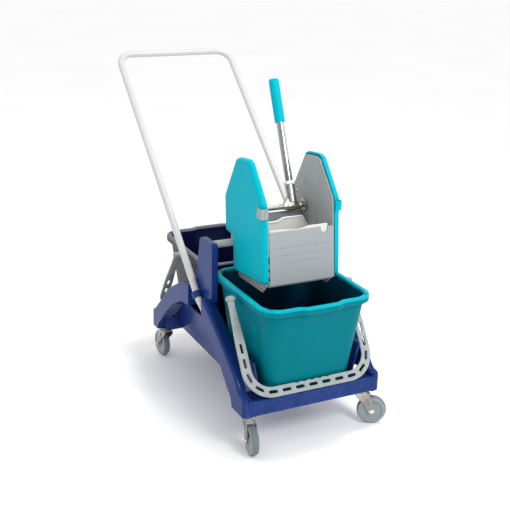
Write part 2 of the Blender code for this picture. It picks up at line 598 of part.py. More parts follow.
def rack(side, sign):
    """Toothed bar under the pinion, with a lug through the side plate to the jaw."""
    line = SHAFT_Z - PITCH_R
    pitch = math.pi * GEAR_MODULE
    outline = [(-0.0115, 0.5140), (-0.1050, 0.5140), (-0.1050, line - 0.0062)]
    for k in range(4):
        c = SHAFT_Y + k * pitch
        outline += [(c - 0.0050, line - 0.0062), (c - TOOTH_HALF, line), (c - 0.0013, line + 0.0044),
                    (c + 0.0013, line + 0.0044), (c + TOOTH_HALF, line), (c + 0.0050, line - 0.0062)]
    outline = outline + [(-0.0115, line - 0.0062)]
    bm = bmesh.new()
    add_prism(bm, outline, "X", *sorted((sign * GEAR_IN, sign * GEAR_OUT)))
    ob = to_object(bm, "rack_" + side, WHITE, (0, JAW_Y, SHAFT_Z))
    lug = bmesh.new()
    add_box(lug, sorted((sign * 0.0904, sign * 0.1000)), (-0.1000, -0.0900), (0.5150, 0.5230))
    boolean(ob, tool(lug, "tool_lug_" + side), "UNION")
    return ob


for side_name, s in SIDES:
    pinion(side_name, s)
    rack(side_name, s)

jaw_outline = [(-0.0900, 0.4400), (0.0900, 0.4400), (0.0900, 0.5240), (0.0765, 0.5465), (0.0735, 0.5480),
               (0.0180, 0.5480), (0.0130, 0.5465), (0.0050, 0.5425), (-0.0010, 0.5400), (-0.0900, 0.5385)]
bm_jaw = bmesh.new()
add_prism(bm_jaw, jaw_outline, "Y", JAW_Y - 0.0060, JAW_Y)
jaw = to_object(bm_jaw, "press_jaw", WHITE, (0, JAW_Y, SHAFT_Z))
ribs = bmesh.new()
for k in range(5):
    x = -0.068 + 0.034 * k
    add_box(ribs, (x - 0.002, x + 0.002), (JAW_Y - 0.001, JAW_Y + 0.010), (0.4500, 0.5300))
boolean(jaw, tool(ribs, "tool_jaw_ribs"), "UNION")


# ---- casters ------------------------------------------------------------------------------
def fork_shape():
    """Pressed fork drawn with the swivel axis on Z and the wheel trailing along +X."""
    bm = bmesh.new()
    add_turned(bm, (0, 0, 0.0930), (0, 0, 1), [(0.0190, 0.0), (0.0200, 0.0030), (0.0200, 0.0060), (0.0150, 0.0090)], 18)
    ob = to_object(bm, "fork_pattern", ZINC)
    for sy in (-1.0, 1.0):
        leg = bmesh.new()
        y = sy * (WHEEL_W / 2 + 0.0028)
        outline = [(-0.0150, 0.0970), (0.0170, 0.0970), (0.0330, 0.0640), (0.0400, 0.0400), (0.0370, 0.0330),
                   (0.0300, 0.0300), (0.0230, 0.0330), (0.0190, 0.0420), (-0.0080, 0.0820)]
        add_prism(leg, outline, "Y", y - 0.0012, y + 0.0012)
        boolean(ob, tool(leg, "tool_fork_leg"), "UNION")
    bore_bm = bmesh.new()
    add_turned(bore_bm, (TRAIL, -0.03, WHEEL_R), (0, 1, 0), [(0.0040 + GAP, 0.0), (0.0040 + GAP, 0.06)], 12)
    boolean(ob, tool(bore_bm, "tool_fork_bore"))
    ob.data.materials.clear()
    ob.data.materials.append(ZINC)
    bpy.context.view_layer.update()
    mesh = bpy.data.meshes.new_from_object(ob.evaluated_get(bpy.context.evaluated_depsgraph_get()))
    mesh.shade_smooth()
    mesh.set_sharp_from_angle(angle=math.radians(35.0))
    ob.hide_render = True
    ob.display_type = "WIRE"
    return mesh


def copy_of(mesh, name, mat, at, turn):
    ob = bpy.data.objects.new(name, mesh)
    bpy.context.scene.collection.objects.link(ob)
    ob.location = Vector(at) - Vector((FRAME_X, FRAME_Y, 0.0))
    ob.rotation_euler = (0.0, 0.0, turn)
    return ob


fork_mesh = fork_shape()
for corner, degrees in CASTER_TURN.items():
    sx = -1.0 if corner.endswith("left") else 1.0
    sy = -1.0 if corner.startswith("front") else 1.0
    turn = math.radians(degrees)
    centre = Vector((sx * CASTER_X, sy * CASTER_Y, 0.0))
    trail = Vector((math.cos(turn), math.sin(turn), 0.0))
    axle_dir = Vector((-math.sin(turn), math.cos(turn), 0.0))
    hub = centre + trail * TRAIL + Vector((0, 0, WHEEL_R))
    turned("caster_plate_" + corner, ZINC, centre + Vector((0, 0, 0.1024)), (0, 0, 1),
           [(0.0220, 0.0), (0.0220, 0.0032)], 20)
    copy_of(fork_mesh, "caster_fork_" + corner, ZINC, centre, turn)
    w = WHEEL_W / 2
    turned("caster_wheel_" + corner, TREAD, hub, axle_dir,
           [(0.0045, -w - 0.0010), (0.0110, -w - 0.0010), (0.0120, -w + 0.0015), (0.0285, -w + 0.0015), (0.0300, -w),
            (0.0365, -w), (0.0390, -w * 0.72), (WHEEL_R, -w * 0.35), (WHEEL_R, w * 0.35), (0.0390, w * 0.72),
            (0.0365, w), (0.0300, w), (0.0285, w - 0.0015), (0.0120, w - 0.0015), (0.0110, w + 0.0010),
            (0.0045, w + 0.0010)], 32, True)
    turned("caster_axle_" + corner, STEEL, hub, axle_dir,
           [(0.0065, -w - 0.0078), (0.0065, -w - 0.0044), (0.0040, -w - 0.0044), (0.0040, w + 0.0044),
            (0.0065, w + 0.0044), (0.0065, w + 0.0078)], 12)
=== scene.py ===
import math

import bmesh
import bpy
from mathutils import Matrix, Vector


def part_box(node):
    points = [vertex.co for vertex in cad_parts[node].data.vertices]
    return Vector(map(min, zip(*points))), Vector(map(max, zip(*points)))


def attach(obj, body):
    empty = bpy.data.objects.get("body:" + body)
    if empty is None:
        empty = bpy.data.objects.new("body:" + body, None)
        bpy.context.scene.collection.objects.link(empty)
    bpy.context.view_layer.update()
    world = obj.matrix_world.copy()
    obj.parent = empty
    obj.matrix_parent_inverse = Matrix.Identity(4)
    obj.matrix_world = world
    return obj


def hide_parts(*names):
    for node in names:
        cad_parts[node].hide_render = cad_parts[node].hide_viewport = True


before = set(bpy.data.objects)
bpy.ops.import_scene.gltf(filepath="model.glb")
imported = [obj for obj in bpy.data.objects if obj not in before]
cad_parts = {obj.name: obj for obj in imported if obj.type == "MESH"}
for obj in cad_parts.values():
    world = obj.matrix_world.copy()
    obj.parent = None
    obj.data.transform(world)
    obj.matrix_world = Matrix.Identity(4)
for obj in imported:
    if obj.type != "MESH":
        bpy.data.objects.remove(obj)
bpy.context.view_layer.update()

tray_lo, tray_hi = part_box("chassis_tray")
OFF = Vector(((tray_lo.x + tray_hi.x) / 2, (tray_lo.y + tray_hi.y) / 2, 0.0))   # chassis centre in the row frame
SIDES = (("left", -1.0), ("right", 1.0))
X_AXIS, Y_AXIS, Z_AXIS = Vector((1, 0, 0)), Vector((0, 1, 0)), Vector((0, 0, 1))


# ---- materials ---------------------------------------------------------------------------
def rgb(r, g, b):
    """sRGB 0..255 to linear."""
    def lin(c):
        c /= 255.0
        return c / 12.92 if c <= 0.04045 else ((c + 0.055) / 1.055) ** 2.4
    return (lin(r), lin(g), lin(b), 1.0)


class Tree:
    def __init__(self, name):
        self.mat = bpy.data.materials.new(name)
        self.mat.use_nodes = True
        self.nodes, self.links = self.mat.node_tree.nodes, self.mat.node_tree.links
        self.bsdf = self.nodes["Principled BSDF"]
        self.coord = self.nodes.new("ShaderNodeTexCoord")

    def noise(self, scale, detail=3.0, rough=0.55, stretch=None, distort=0.0, lean=0.0):
        node = self.nodes.new("ShaderNodeTexNoise")
        node.inputs["Scale"].default_value = scale
        node.inputs["Detail"].default_value = detail
        node.inputs["Roughness"].default_value = rough
        node.inputs["Distortion"].default_value = distort
        source = self.coord.outputs["Object"]
        if stretch:
            mapping = self.nodes.new("ShaderNodeMapping")
            mapping.vector_type = "TEXTURE"
            mapping.inputs["Scale"].default_value = tuple(1.0 / v for v in stretch)
            mapping.inputs["Rotation"].default_value = (-lean, 0.0, 0.0)
            self.links.new(source, mapping.inputs["Vector"])
            source = mapping.outputs["Vector"]
        self.links.new(source, node.inputs["Vector"])
        return node.outputs["Fac"]

    def span(self, value, a, b, lo, hi):
        node = self.nodes.new("ShaderNodeMapRange")
        for key, v in (("From Min", a), ("From Max", b), ("To Min", lo), ("To Max", hi)):
            node.inputs[key].default_value = v
        self.links.new(value, node.inputs["Value"])
        return node.outputs["Result"]

    def mix(self, factor, a, b):
        node = self.nodes.new("ShaderNodeMix")
        node.data_type = "RGBA"
        self.links.new(factor, node.inputs["Factor"])
        for key, v in (("A", a), ("B", b)):
            socket = [s for s in node.inputs if s.name == key and s.type == "RGBA"][0]
            if isinstance(v, tuple):
                socket.default_value = v
            else:
                self.links.new(v, socket)
        return [s for s in node.outputs if s.type == "RGBA"][0]

    def edges(self, lo=0.52, hi=0.62):
        return self.span(self.nodes.new("ShaderNodeNewGeometry").outputs["Pointiness"], lo, hi, 0.0, 1.0)

    def bump(self, value, strength, distance, previous=None):
        node = self.nodes.new("ShaderNodeBump")
        node.inputs["Strength"].default_value = strength
        node.inputs["Distance"].default_value = distance
        self.links.new(value, node.inputs["Height"])
        if previous:
            self.links.new(previous, node.inputs["Normal"])
        return node.outputs["Normal"]

    def end(self, colour, rough, normal=None):
        self.links.new(colour, self.bsdf.inputs["Base Color"])
        self.links.new(rough, self.bsdf.inputs["Roughness"])
        if normal:
            self.links.new(normal, self.bsdf.inputs["Normal"])
        return self.mat


def shade(colour, k):
    return (min(1.0, colour[0] * k), min(1.0, colour[1] * k), min(1.0, colour[2] * k), 1.0)


def plastic(name, colour, rough, grain=0.06, peel=0.10, worn=None, spread=0.10, specular=0.5, painted_shade_depth=None):
    """Moulded plastic: soft colour drift, fine speckle, orange peel and lightly rubbed edges."""
    t = Tree(name)
    drift = t.span(t.noise(7.0, 4.0, 0.6, distort=0.6), 0.3, 0.7, 0.0, 1.0)
    base = t.mix(drift, shade(colour, 1.0 - spread), shade(colour, 1.0 + spread))
    speck = t.span(t.noise(950.0, 2.0), 0.62, 0.80, 0.0, 0.55)
    base = t.mix(speck, base, shade(colour, 1.35))
    if painted_shade_depth:
        # painted shade: the colour darkens towards the bottom, by height
        apart = t.nodes.new("ShaderNodeSeparateXYZ")
        t.links.new(t.coord.outputs["Object"], apart.inputs[0])
        base = t.mix(t.span(apart.outputs["Z"], painted_shade_depth[0], painted_shade_depth[1], 0.0, 1.0), base, painted_shade_depth[2])
    if worn:
        rub = t.nodes.new("ShaderNodeMath")
        rub.operation = "MULTIPLY"
        t.links.new(t.edges(), rub.inputs[0])
        t.links.new(t.span(t.noise(60.0, 4.0, 0.7), 0.42, 0.62, 0.0, 0.8), rub.inputs[1])
        base = t.mix(rub.outputs[0], base, worn)
    scuff = t.span(t.noise(26.0, 6.0, 0.7, stretch=(1.0, 1.0, 3.0)), 0.35, 0.7, rough * 0.82, rough * 1.28)
    n = t.bump(t.noise(420.0, 3.0), grain, 0.0006)
    n = t.bump(t.noise(38.0, 2.0), peel, 0.0016, n)
    t.bsdf.inputs["Specular IOR Level"].default_value = specular
    return t.end(base, scuff, n)


def metal(name, colour, rough, stretch=(1.0, 1.0, 1.0), stain_and_reflection_tint=None, brushed=0.05, metallic=1.0, spread=0.08, reflection_streaks=None):
    """Drawn, brushed or zinc plated metal, with stains or, along a tube, painted reflection bands, and fine streaks
    along the given stretch.
    """
    t = Tree(name)
    if reflection_streaks:
        # painted reflection: dark bands that run the tube's whole length
        stain_and_reflection = t.span(t.noise(reflection_streaks[0], 2.0, 0.5, stretch=(1.0, 1.0, 0.02), lean=reflection_streaks[1]), 0.44, 0.56, 0.0, 1.0)
    else:
        stain_and_reflection = t.span(t.noise(22.0, 5.0, 0.65, distort=0.8), 0.38, 0.68, 0.0, 1.0)
    base = t.mix(stain_and_reflection, shade(colour, 1.0 + spread), stain_and_reflection_tint or shade(colour, 1.0 - 2 * spread))
    streak = t.noise(300.0, 4.0, 0.6, stretch=stretch)
    r = t.span(streak, 0.3, 0.7, rough * 0.75, rough * 1.3)
    n = t.bump(streak, brushed, 0.0004)
    t.bsdf.inputs["Metallic"].default_value = metallic
    return t.end(base, r, n)


BLUE = plastic("moulded_blue", rgb(23, 48, 109), 0.22, worn=rgb(62, 84, 142), spread=0.07, specular=0.12, peel=0.04)
NAVY = plastic("moulded_navy", rgb(9, 14, 48), 0.28, worn=rgb(70, 76, 96), spread=0.12, specular=0.10)
# rim of the rear bucket: the grey is a painted highlight on the glossy rim top; its rubbed edges are wear
NAVY_RIM_LIT = plastic("moulded_navy_rim_painted_highlight", rgb(96, 98, 108), 0.34, worn=rgb(150, 152, 156), spread=0.25, specular=0.2)
TEAL = plastic("moulded_teal", rgb(0, 111, 123), 0.42, worn=rgb(0, 165, 180), spread=0.05, specular=0.04)
# rim of the front bucket: the lighter teal is a painted highlight on the rim top; its rubbed edges are wear
TEAL_RIM_LIT = plastic("moulded_teal_rim_painted_highlight", rgb(0, 156, 171), 0.38, worn=rgb(0, 198, 212), spread=0.05, specular=0.05)
# inside of the front bucket: the darker teal, darker still towards the bottom, is painted shade
TEAL_INSIDE_SHADED = plastic("moulded_teal_inside_painted_shade", rgb(2, 70, 92), 0.45, spread=0.10, specular=0.04,
                      painted_shade_depth=(0.385, 0.250, rgb(6, 22, 44)))
CYAN = plastic("moulded_cyan", rgb(0, 166, 183), 0.40, worn=rgb(0, 200, 218), spread=0.03, specular=0.04)
GREY = plastic("moulded_grey", rgb(149, 155, 158), 0.50, spread=0.03, specular=0.25)
PLATE_GREY = plastic("plate_grey", rgb(160, 165, 166), 0.42, worn=rgb(190, 194, 195), spread=0.04, specular=0.3)
WHITE = plastic("moulded_white", rgb(238, 237, 231), 0.46, worn=rgb(244, 244, 240), spread=0.03, specular=0.3)
LINER = plastic("liner_white", rgb(206, 205, 199), 0.46, spread=0.03, specular=0.25)
STRAP = plastic("strap_grey", rgb(148, 154, 153), 0.44, worn=rgb(178, 184, 184), spread=0.04, specular=0.25)
LACQUER = plastic("lacquer_white", rgb(190, 191, 187), 0.24, grain=0.02, peel=0.05, spread=0.03, specular=0.3)
WHEEL_FACE = plastic("wheel_grey", rgb(136, 144, 149), 0.50, grain=0.12, worn=rgb(166, 174, 178), spread=0.07, specular=0.3)
TREAD = plastic("wheel_tread", rgb(108, 116, 121), 0.60, grain=0.16, worn=rgb(140, 148, 152), spread=0.12, specular=0.2)
LEAN = math.radians(22.65)                 # the lever leans back from upright by this much
# chrome lever: the dark tint in long bands along it is painted reflection
CHROME = metal("chrome", (0.74, 0.75, 0.76, 1.0), 0.07, stretch=(1.0, 1.0, 0.02), stain_and_reflection_tint=(0.26, 0.27, 0.28, 1.0),
               brushed=0.02, spread=0.05, reflection_streaks=(95.0, LEAN))
BRIGHT = metal("bright_steel", (0.70, 0.71, 0.70, 1.0), 0.16, spread=0.10)
STEEL = metal("satin_steel", (0.46, 0.45, 0.42, 1.0), 0.30, stretch=(0.05, 1.0, 1.0), stain_and_reflection_tint=(0.34, 0.32, 0.27, 1.0))
ZINC = metal("zinc", (0.40, 0.39, 0.35, 1.0), 0.24, stretch=(1.0, 1.0, 0.15), stain_and_reflection_tint=(0.20, 0.19, 0.155, 1.0),
             brushed=0.08, spread=0.12)


# ---- mesh helpers --------------------------------------------------------------------------
def box(bm, x, y, z):
    made = bmesh.ops.create_cube(bm, size=1.0)["verts"]
    for v in made:
        v.co = Vector(((x[0] + x[1]) / 2 + v.co.x * abs(x[1] - x[0]),
                       (y[0] + y[1]) / 2 + v.co.y * abs(y[1] - y[0]),
                       (z[0] + z[1]) / 2 + v.co.z * abs(z[1] - z[0])))
    return bm


def prism(bm, outline, axis, lo, hi):
    def point(p, h):
        return {"X": (h, p[0], p[1]), "Y": (p[0], h, p[1]), "Z": (p[0], p[1], h)}[axis]
    low = [bm.verts.new(point(p, lo)) for p in outline]
    high = [bm.verts.new(point(p, hi)) for p in outline]
    bm.faces.new(low)
    bm.faces.new(list(reversed(high)))
    for i in range(len(outline)):
        j = (i + 1) % len(outline)
        bm.faces.new((low[i], low[j], high[j], high[i]))
    return bm


def loft(bm, rings, cap=True, loop=False):
    rows = [[bm.verts.new(p) for p in ring] for ring in rings]
    count = len(rows[0])
    for a, b in list(zip(rows, rows[1:])) + ([(rows[-1], rows[0])] if loop else []):
        for i in range(count):
            j = (i + 1) % count
            bm.faces.new((a[i], a[j], b[j], b[i]))
    if cap and not loop:
        bm.faces.new(list(reversed(rows[0])))
        bm.faces.new(rows[-1])
    return bm


def turn_on(bm, origin, direction, profile, sides=40, closed=False):
    d = Vector(direction).normalized()
    u = d.cross(X_AXIS if abs(d.x) < 0.9 else Y_AXIS).normalized()
    v = d.cross(u)
    rings = []
    for r, h in profile:
        c = Vector(origin) + d * h
        rings.append([c + u * (r * math.cos(2 * math.pi * k / sides)) + v * (r * math.sin(2 * math.pi * k / sides))
                      for k in range(sides)])
    return loft(bm, rings, cap=not closed, loop=closed)


def sweep(bm, path, normal, section):
    """section(i) gives (across, along normal) pairs at path point i."""
    rings = []
    for i, p in enumerate(path):
        along = (path[min(i + 1, len(path) - 1)] - path[max(i - 1, 0)]).normalized()
        side = along.cross(normal).normalized()
        rings.append([p + side * s + normal * n for s, n in section(i)])
    return loft(bm, rings)


def round_profile(points, radius, steps=4, closed=True):
    """Round every corner of an outline, less where its edges are short."""
    out, n = [], len(points)
    for i in range(n):
        p = Vector(points[i])
        if not closed and i in (0, n - 1):
            out.append(tuple(p))
            continue
        a, b = Vector(points[i - 1]) - p, Vector(points[(i + 1) % n]) - p
        cosine = max(-1.0, min(1.0, a.normalized().dot(b.normalized())))
        half = math.acos(cosine) / 2
        if half > math.radians(86):
            out.append(tuple(p))
            continue
        reach = min(radius / math.tan(half), a.length * 0.45, b.length * 0.45)
        r = reach * math.tan(half)
        middle = (a.normalized() + b.normalized()).normalized()
        centre = p + middle * (r / math.sin(half))
        s, e = p + a.normalized() * reach - centre, p + b.normalized() * reach - centre
        for k in range(steps + 1):
            t = k / steps
            d = (s * (1 - t) + e * t)
            out.append(tuple(centre + d.normalized() * r))
    return out


def shifted(outline, amount):
    """Move every edge of a simple outline inwards."""
    n = len(outline)
    area = sum(outline[i][0] * outline[(i + 1) % n][1] - outline[(i + 1) % n][0] * outline[i][1] for i in range(n))
    turn = 1.0 if area > 0 else -1.0
    result = []
    for i in range(n):
        p0, p1, p2 = (Vector(outline[j % n]) for j in (i - 1, i, i + 1))
        e0, e1 = (p1 - p0).normalized(), (p2 - p1).normalized()
        n0, n1 = Vector((-e0.y, e0.x)) * turn, Vector((-e1.y, e1.x)) * turn
        result.append(tuple(p1 + (n0 + n1) / max(0.3, 1.0 + n0.dot(n1)) * amount))
    return result


def circle(r, sides):
    return [(r * math.cos(2 * math.pi * k / sides), r * math.sin(2 * math.pi * k / sides)) for k in range(sides)]


def new(*drawn):
    return bmesh.new()


def temp(bm):
    bmesh.ops.remove_doubles(bm, verts=bm.verts, dist=1e-6)
    bmesh.ops.recalc_face_normals(bm, faces=bm.faces)
    mesh = bpy.data.meshes.new("temp")
    bm.to_mesh(mesh)
    bm.free()
    ob = bpy.data.objects.new("temp", mesh)
    bpy.context.scene.collection.objects.link(ob)
    return ob


def apply(ob):
    bpy.context.view_layer.update()
    mesh = bpy.data.meshes.new_from_object(ob.evaluated_get(bpy.context.evaluated_depsgraph_get()))
    ob.modifiers.clear()
    ob.data = mesh
    return ob


def combine(ob, other, operation):
    if not isinstance(ob, bpy.types.Object):
        ob = temp(ob)
    tool = temp(other)
    mod = ob.modifiers.new("b", "BOOLEAN")
    mod.operation, mod.solver, mod.object = operation, "EXACT", tool
    apply(ob)
    bpy.data.objects.remove(tool, do_unlink=True)
    return ob


def cut(ob, *others):
    for other in others:
        ob = combine(ob, other, "DIFFERENCE")
    return ob


def join(ob, *others):
    for other in others:
        ob = combine(ob, other, "UNION")
    return ob


def modify(ob, kind, **settings):
    mod = ob.modifiers.new(kind.lower(), kind)
    for key, value in settings.items():
        setattr(mod, key, value)
    return mod


def finish(ob, name, mat, body, nodes=(), bevel=0.0, segments=3, angle=35.0, sharp=40.0, weighted=True):
    """Give a drawn piece its name, finish, rounded edges and body."""
    if not isinstance(ob, bpy.types.Object):
        ob = temp(ob)
    ob.name = name
    ob.data.name = name
    ob.data.transform(Matrix.Translation(OFF))
    ob.data.materials.clear()
    ob.data.materials.append(mat)
    if bevel:
        modify(ob, "BEVEL", width=bevel, segments=segments, limit_method="ANGLE", angle_limit=math.radians(angle),
               miter_outer="MITER_ARC")
        apply(ob)
    ob.data.shade_smooth()
    ob.data.set_sharp_from_angle(angle=math.radians(sharp))
    if weighted:
        modify(ob, "WEIGHTED_NORMAL", keep_sharp=True, weight=60)
    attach(ob, body)
    if nodes:
        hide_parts(*nodes)
    return ob


def keep(nodes, mat):
    for n in nodes:
        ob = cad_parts[n]
        for i in range(len(ob.material_slots)):
            ob.material_slots[i].link = "DATA"
        ob.data.materials.clear()
        ob.data.materials.append(mat)


def step(a, b, x):
    t = max(0.0, min(1.0, (x - a) / (b - a)))
    return t * t * (3 - 2 * t)


def along_line(knots, y):
    for (y0, z0), (y1, z1) in zip(knots, knots[1:]):
        if y <= y1:
            return z0 + (z1 - z0) * max(0.0, min(1.0, (y - y0) / (y1 - y0)))
    return knots[-1][1]


def smooth_line(knots, y):
    """The same line with its corners eased."""
    reach = 0.012
    return sum(along_line(knots, y + reach * k / 4) for k in range(-4, 5)) / 9


# ---- chassis ----------------------------------------------------------------------------------
HALF_W, HALF_L, BASE_Z, LEDGE_Z, POD_Z = 0.202, 0.330, 0.106, 0.149, 0.163
POD_IN, ARCH_IN = 0.178, 0.160
ARCH_TOP = [(-0.330, 0.1570), (-0.322, 0.1625), (-0.300, POD_Z), (-0.292, 0.1700), (-0.2712, 0.1990),
            (-0.190, 0.2560), (-0.110, 0.3060), (-0.0523, 0.3352), (-0.010, 0.3440), (0.0361, 0.3441),
            (0.080, 0.3340), (0.117, 0.3180), (0.182, 0.2820), (0.222, 0.2480), (0.252, 0.2190),
            (0.289, 0.1880), (0.305, 0.1700), (0.322, 0.1630), (0.330, 0.1570)]
ARCH_LOW = [(-0.330, BASE_Z), (-0.2580, BASE_Z), (-0.2506, 0.1290), (-0.2232, 0.1520), (-0.159, 0.2125),
            (-0.110, 0.2460), (-0.0584, 0.2745), (0.020, 0.2800), (0.0915, 0.2700), (0.164, 0.2310),
            (0.2188, 0.1840), (0.262, 0.1400), (0.2764, 0.1287), (0.2840, BASE_Z), (0.330, BASE_Z)]
HANDLE_X, HANDLE_R = 0.1885, 0.0100
HANDLE_FOOT, HANDLE_TOP = Vector((0.0, -0.0340, 0.2865)), Vector((0.0, 0.6458, 0.8917))
LEG = (HANDLE_TOP - HANDLE_FOOT).normalized()
SLEEVE_Y, SLEEVE_R = 0.003, 0.0144
POST_IN, POST_OUT, POST_FOOT_Z, POST_TOP_Z = 0.160, 0.178, 0.3184, 0.485
RAIL_Y, RAIL_Z, RAIL_R = -0.030, 0.472, 0.0100


def side_frame(side, sign):
    corner = 0.011
    stations = {round(-0.330 + 0.0055 * k, 5) for k in range(121)}
    stations |= {y for y, _ in ARCH_LOW}
    stations |= {s * (HALF_L - corner + corner * math.sin(math.pi / 2 * k / 6)) for k in range(7) for s in (-1, 1)}
    rings = []
    for y in sorted(stations):
        top, low = smooth_line(ARCH_TOP, y), along_line(ARCH_LOW, y)
        mid = 1.0 - step(0.215, 0.262, abs(y))
        inner = POD_IN - (POD_IN - ARCH_IN) * mid
        low_in = max(low, LEDGE_Z + 0.002) if mid > 0.0 else low
        drop = 0.002 + 0.012 * mid
        over = max(0.0, abs(y) - (HALF_L - corner))
        end = corner - math.sqrt(max(0.0, corner ** 2 - over ** 2))
        outer = HALF_W - end
        section = [(outer, low + 0.001), (outer, top - 0.011)]
        for k in range(1, 6):
            a = math.pi / 2 * k / 6
            section.append((outer - 0.008 * (1 - math.cos(a)), top - 0.009 + 0.009 * math.sin(a)))
        section += [(outer - 0.0095, top), ((outer + inner) / 2 + 0.004, top - drop * 0.20),
                    ((outer + inner) / 2 - 0.004, top - drop * 0.5), (inner + 0.0055, top - drop * 0.85),
                    (inner + 0.002, top - drop - 0.002), (inner, top - drop - 0.006), (inner, low_in),
                    (inner + 0.001, low_in)]
        rings.append([Vector((sign * x, y, z)) for x, z in section])
    ob = temp(loft(new(), rings))
    ob = cut(ob, box(new(), sorted((sign * 0.1738, sign * 0.215)), (-0.0550, 0.0380), (0.200, 0.400)),
             box(new(), sorted((sign * 0.150, sign * (POST_OUT + 0.0004))), (-0.0710, 0.0390), (POST_FOOT_Z - 0.0004, 0.400)),
             turn_on(new(), HANDLE_FOOT + X_AXIS * (sign * HANDLE_X), LEG, [(HANDLE_R + 0.0012, -0.02), (HANDLE_R + 0.0012, 0.20)], 32))
    return finish(ob, "arch_" + side, BLUE, "base", ["side_frame_" + side], bevel=0.0012, segments=2,
                  angle=55, sharp=50)


def chassis_tray():
    well = 0.124
    ob = temp(box(new(), (-well - 0.004, well + 0.004), (-0.312, 0.312), (BASE_Z, BASE_Z + 0.006)))
    for sign in (-1.0, 1.0):
        bar = round_profile([(sign * 0.3285, BASE_Z), (sign * 0.3300, LEDGE_Z), (sign * 0.3130, LEDGE_Z - 0.001),
                             (sign * 0.3090, BASE_Z)], 0.004, 4)
        ob = join(ob, prism(new(), bar, "X", -POD_IN + 0.0004, POD_IN - 0.0004))
        for end in (-1.0, 1.0):
            ob = join(ob, box(new(), sorted((sign * 0.1235, sign * (POD_IN - 0.0004))), sorted((end * 0.262, end * 0.320)),
                              (BASE_Z, LEDGE_Z - 0.004)))
        wall = [(sign * x, z) for x, z in ((well, BASE_Z + 0.001), (well + 0.005, BASE_Z + 0.001),
                                           (0.1590, 0.236), (0.1545, 0.236))]
        ob = join(ob, prism(new(), wall, "Y", -0.290, 0.290))
    ob = join(ob, prism(new(), [(-0.026, BASE_Z + 0.001), (0.026, BASE_Z + 0.001), (0.016, 0.140), (-0.016, 0.140)], "X",
                        -0.125, 0.125))
    for y in (-0.26, -0.18, -0.10, 0.10, 0.18, 0.26):
        ob = join(ob, box(new(), (-0.118, 0.118), (y - 0.0015, y + 0.0015), (BASE_Z + 0.004, BASE_Z + 0.0062)))
    return finish(ob, "tray", BLUE, "base", ["chassis_tray"], bevel=0.0022, segments=3, angle=50)


POST_OUTLINE = [(-0.0700, POST_FOOT_Z), (0.0380, POST_FOOT_Z), (0.0360, 0.370), (0.0250, 0.420), (0.0130, 0.478),
                (0.0060, POST_TOP_Z), (-0.0620, POST_TOP_Z), (-0.0690, 0.478), (-0.0700, 0.420)]


def post(side, sign):
    outline = round_profile(POST_OUTLINE, 0.006, 4)
    ob = temp(prism(new(), outline, "X", *sorted((sign * POST_IN, sign * POST_OUT))))
    foot = HANDLE_FOOT + X_AXIS * (sign * HANDLE_X)
    at = foot + LEG * ((SLEEVE_Y - foot.y) / LEG.y)
    ob = cut(ob, turn_on(new(), (sign * 0.150, RAIL_Y, RAIL_Z), (sign, 0, 0), [(RAIL_R + 0.0004, 0), (RAIL_R + 0.0004, 0.0245)], 32),
             turn_on(new(), at - LEG * 0.0108, LEG, [(SLEEVE_R + 0.0004, 0), (SLEEVE_R + 0.0004, 0.0216)], 32))
    return finish(ob, "upright_" + side, BLUE, "base", ["post_" + side], bevel=0.0030, segments=4, angle=50)


def tube_loop(foot, top, half, bend, steps):
    up = (top - foot).normalized()
    points = [foot - X_AXIS * half + up * (0.0 + 0.004 * k) for k in range(14)]
    centre = top - up * bend - X_AXIS * (half - bend)
    for k in range(steps + 1):
        a = math.pi / 2 * k / steps
        points.append(centre - X_AXIS * (bend * math.cos(a)) + up * (bend * math.sin(a)))
    return points + [Vector((-p.x, p.y, p.z)) for p in reversed(points)]


def push_handle():
    path = tube_loop(HANDLE_FOOT, HANDLE_TOP, HANDLE_X, 0.044, 20)
    normal = X_AXIS.cross(LEG).normalized()

    def section(i):
        d = min((path[i] - path[0]).length, (path[i] - path[-1]).length)
        r = HANDLE_R * (0.52 + 0.48 * step(0.0, 0.042, d))
        return circle(r, 28)

    ob = temp(sweep(new(), path, normal, section))
    for _, sign in SIDES:
        at = HANDLE_FOOT + X_AXIS * (sign * HANDLE_X) + LEG * 0.150
        ob = cut(ob, turn_on(new(), at + normal * 0.0 - X_AXIS * (sign * -0.004), (sign, 0, 0),
                             [(0.0021, 0.0), (0.0021, 0.02)], 16))
    finish(ob, "handle_tube", LACQUER, "base", ["push_handle"], sharp=50, weighted=False)
    for side, sign in SIDES:
        foot = HANDLE_FOOT + X_AXIS * (sign * HANDLE_X)
        finish(turn_on(new(), foot - LEG * 0.0004, -LEG, [(0.0046, 0.0), (0.0050, 0.0012), (0.0046, 0.004), (0.0038, 0.009),
                                                          (0.0026, 0.0122), (0.0010, 0.0130)], 28),
               "tube_tip_" + side, LACQUER, "base", ["handle_plug_" + side])
        at = foot + LEG * ((SLEEVE_Y - foot.y) / LEG.y) - LEG * 0.010
        finish(turn_on(new(), at, LEG, [(0.0104, 0.0012), (0.0122, 0.0), (0.0138, 0.0012), (0.0144, 0.0035), (0.0144, 0.0165),
                                        (0.0138, 0.0188), (0.0122, 0.020), (0.0104, 0.0188)], 40, closed=True),
               "sleeve_" + side, BLUE, "base", ["handle_sleeve_" + side])


chassis_tray()
for side_name, s in SIDES:
    side_frame(side_name, s)
    post(side_name, s)
push_handle()
finish(turn_on(new(), (-0.174, RAIL_Y, RAIL_Z), X_AXIS, [(0.0088, 0.0), (RAIL_R, 0.0012), (RAIL_R, 0.3468), (0.0088, 0.348)], 40),
       "rail", LACQUER, "base", ["support_rail"])


# ---- buckets ----------------------------------------------------------------------------------
B_MID, B_L, B_W, B_Z0, B_Z1, DRAFT, SIDE_DRAFT = 0.1845, 0.1590, 0.1475, 0.1124, 0.396, 0.0440, 0.0290


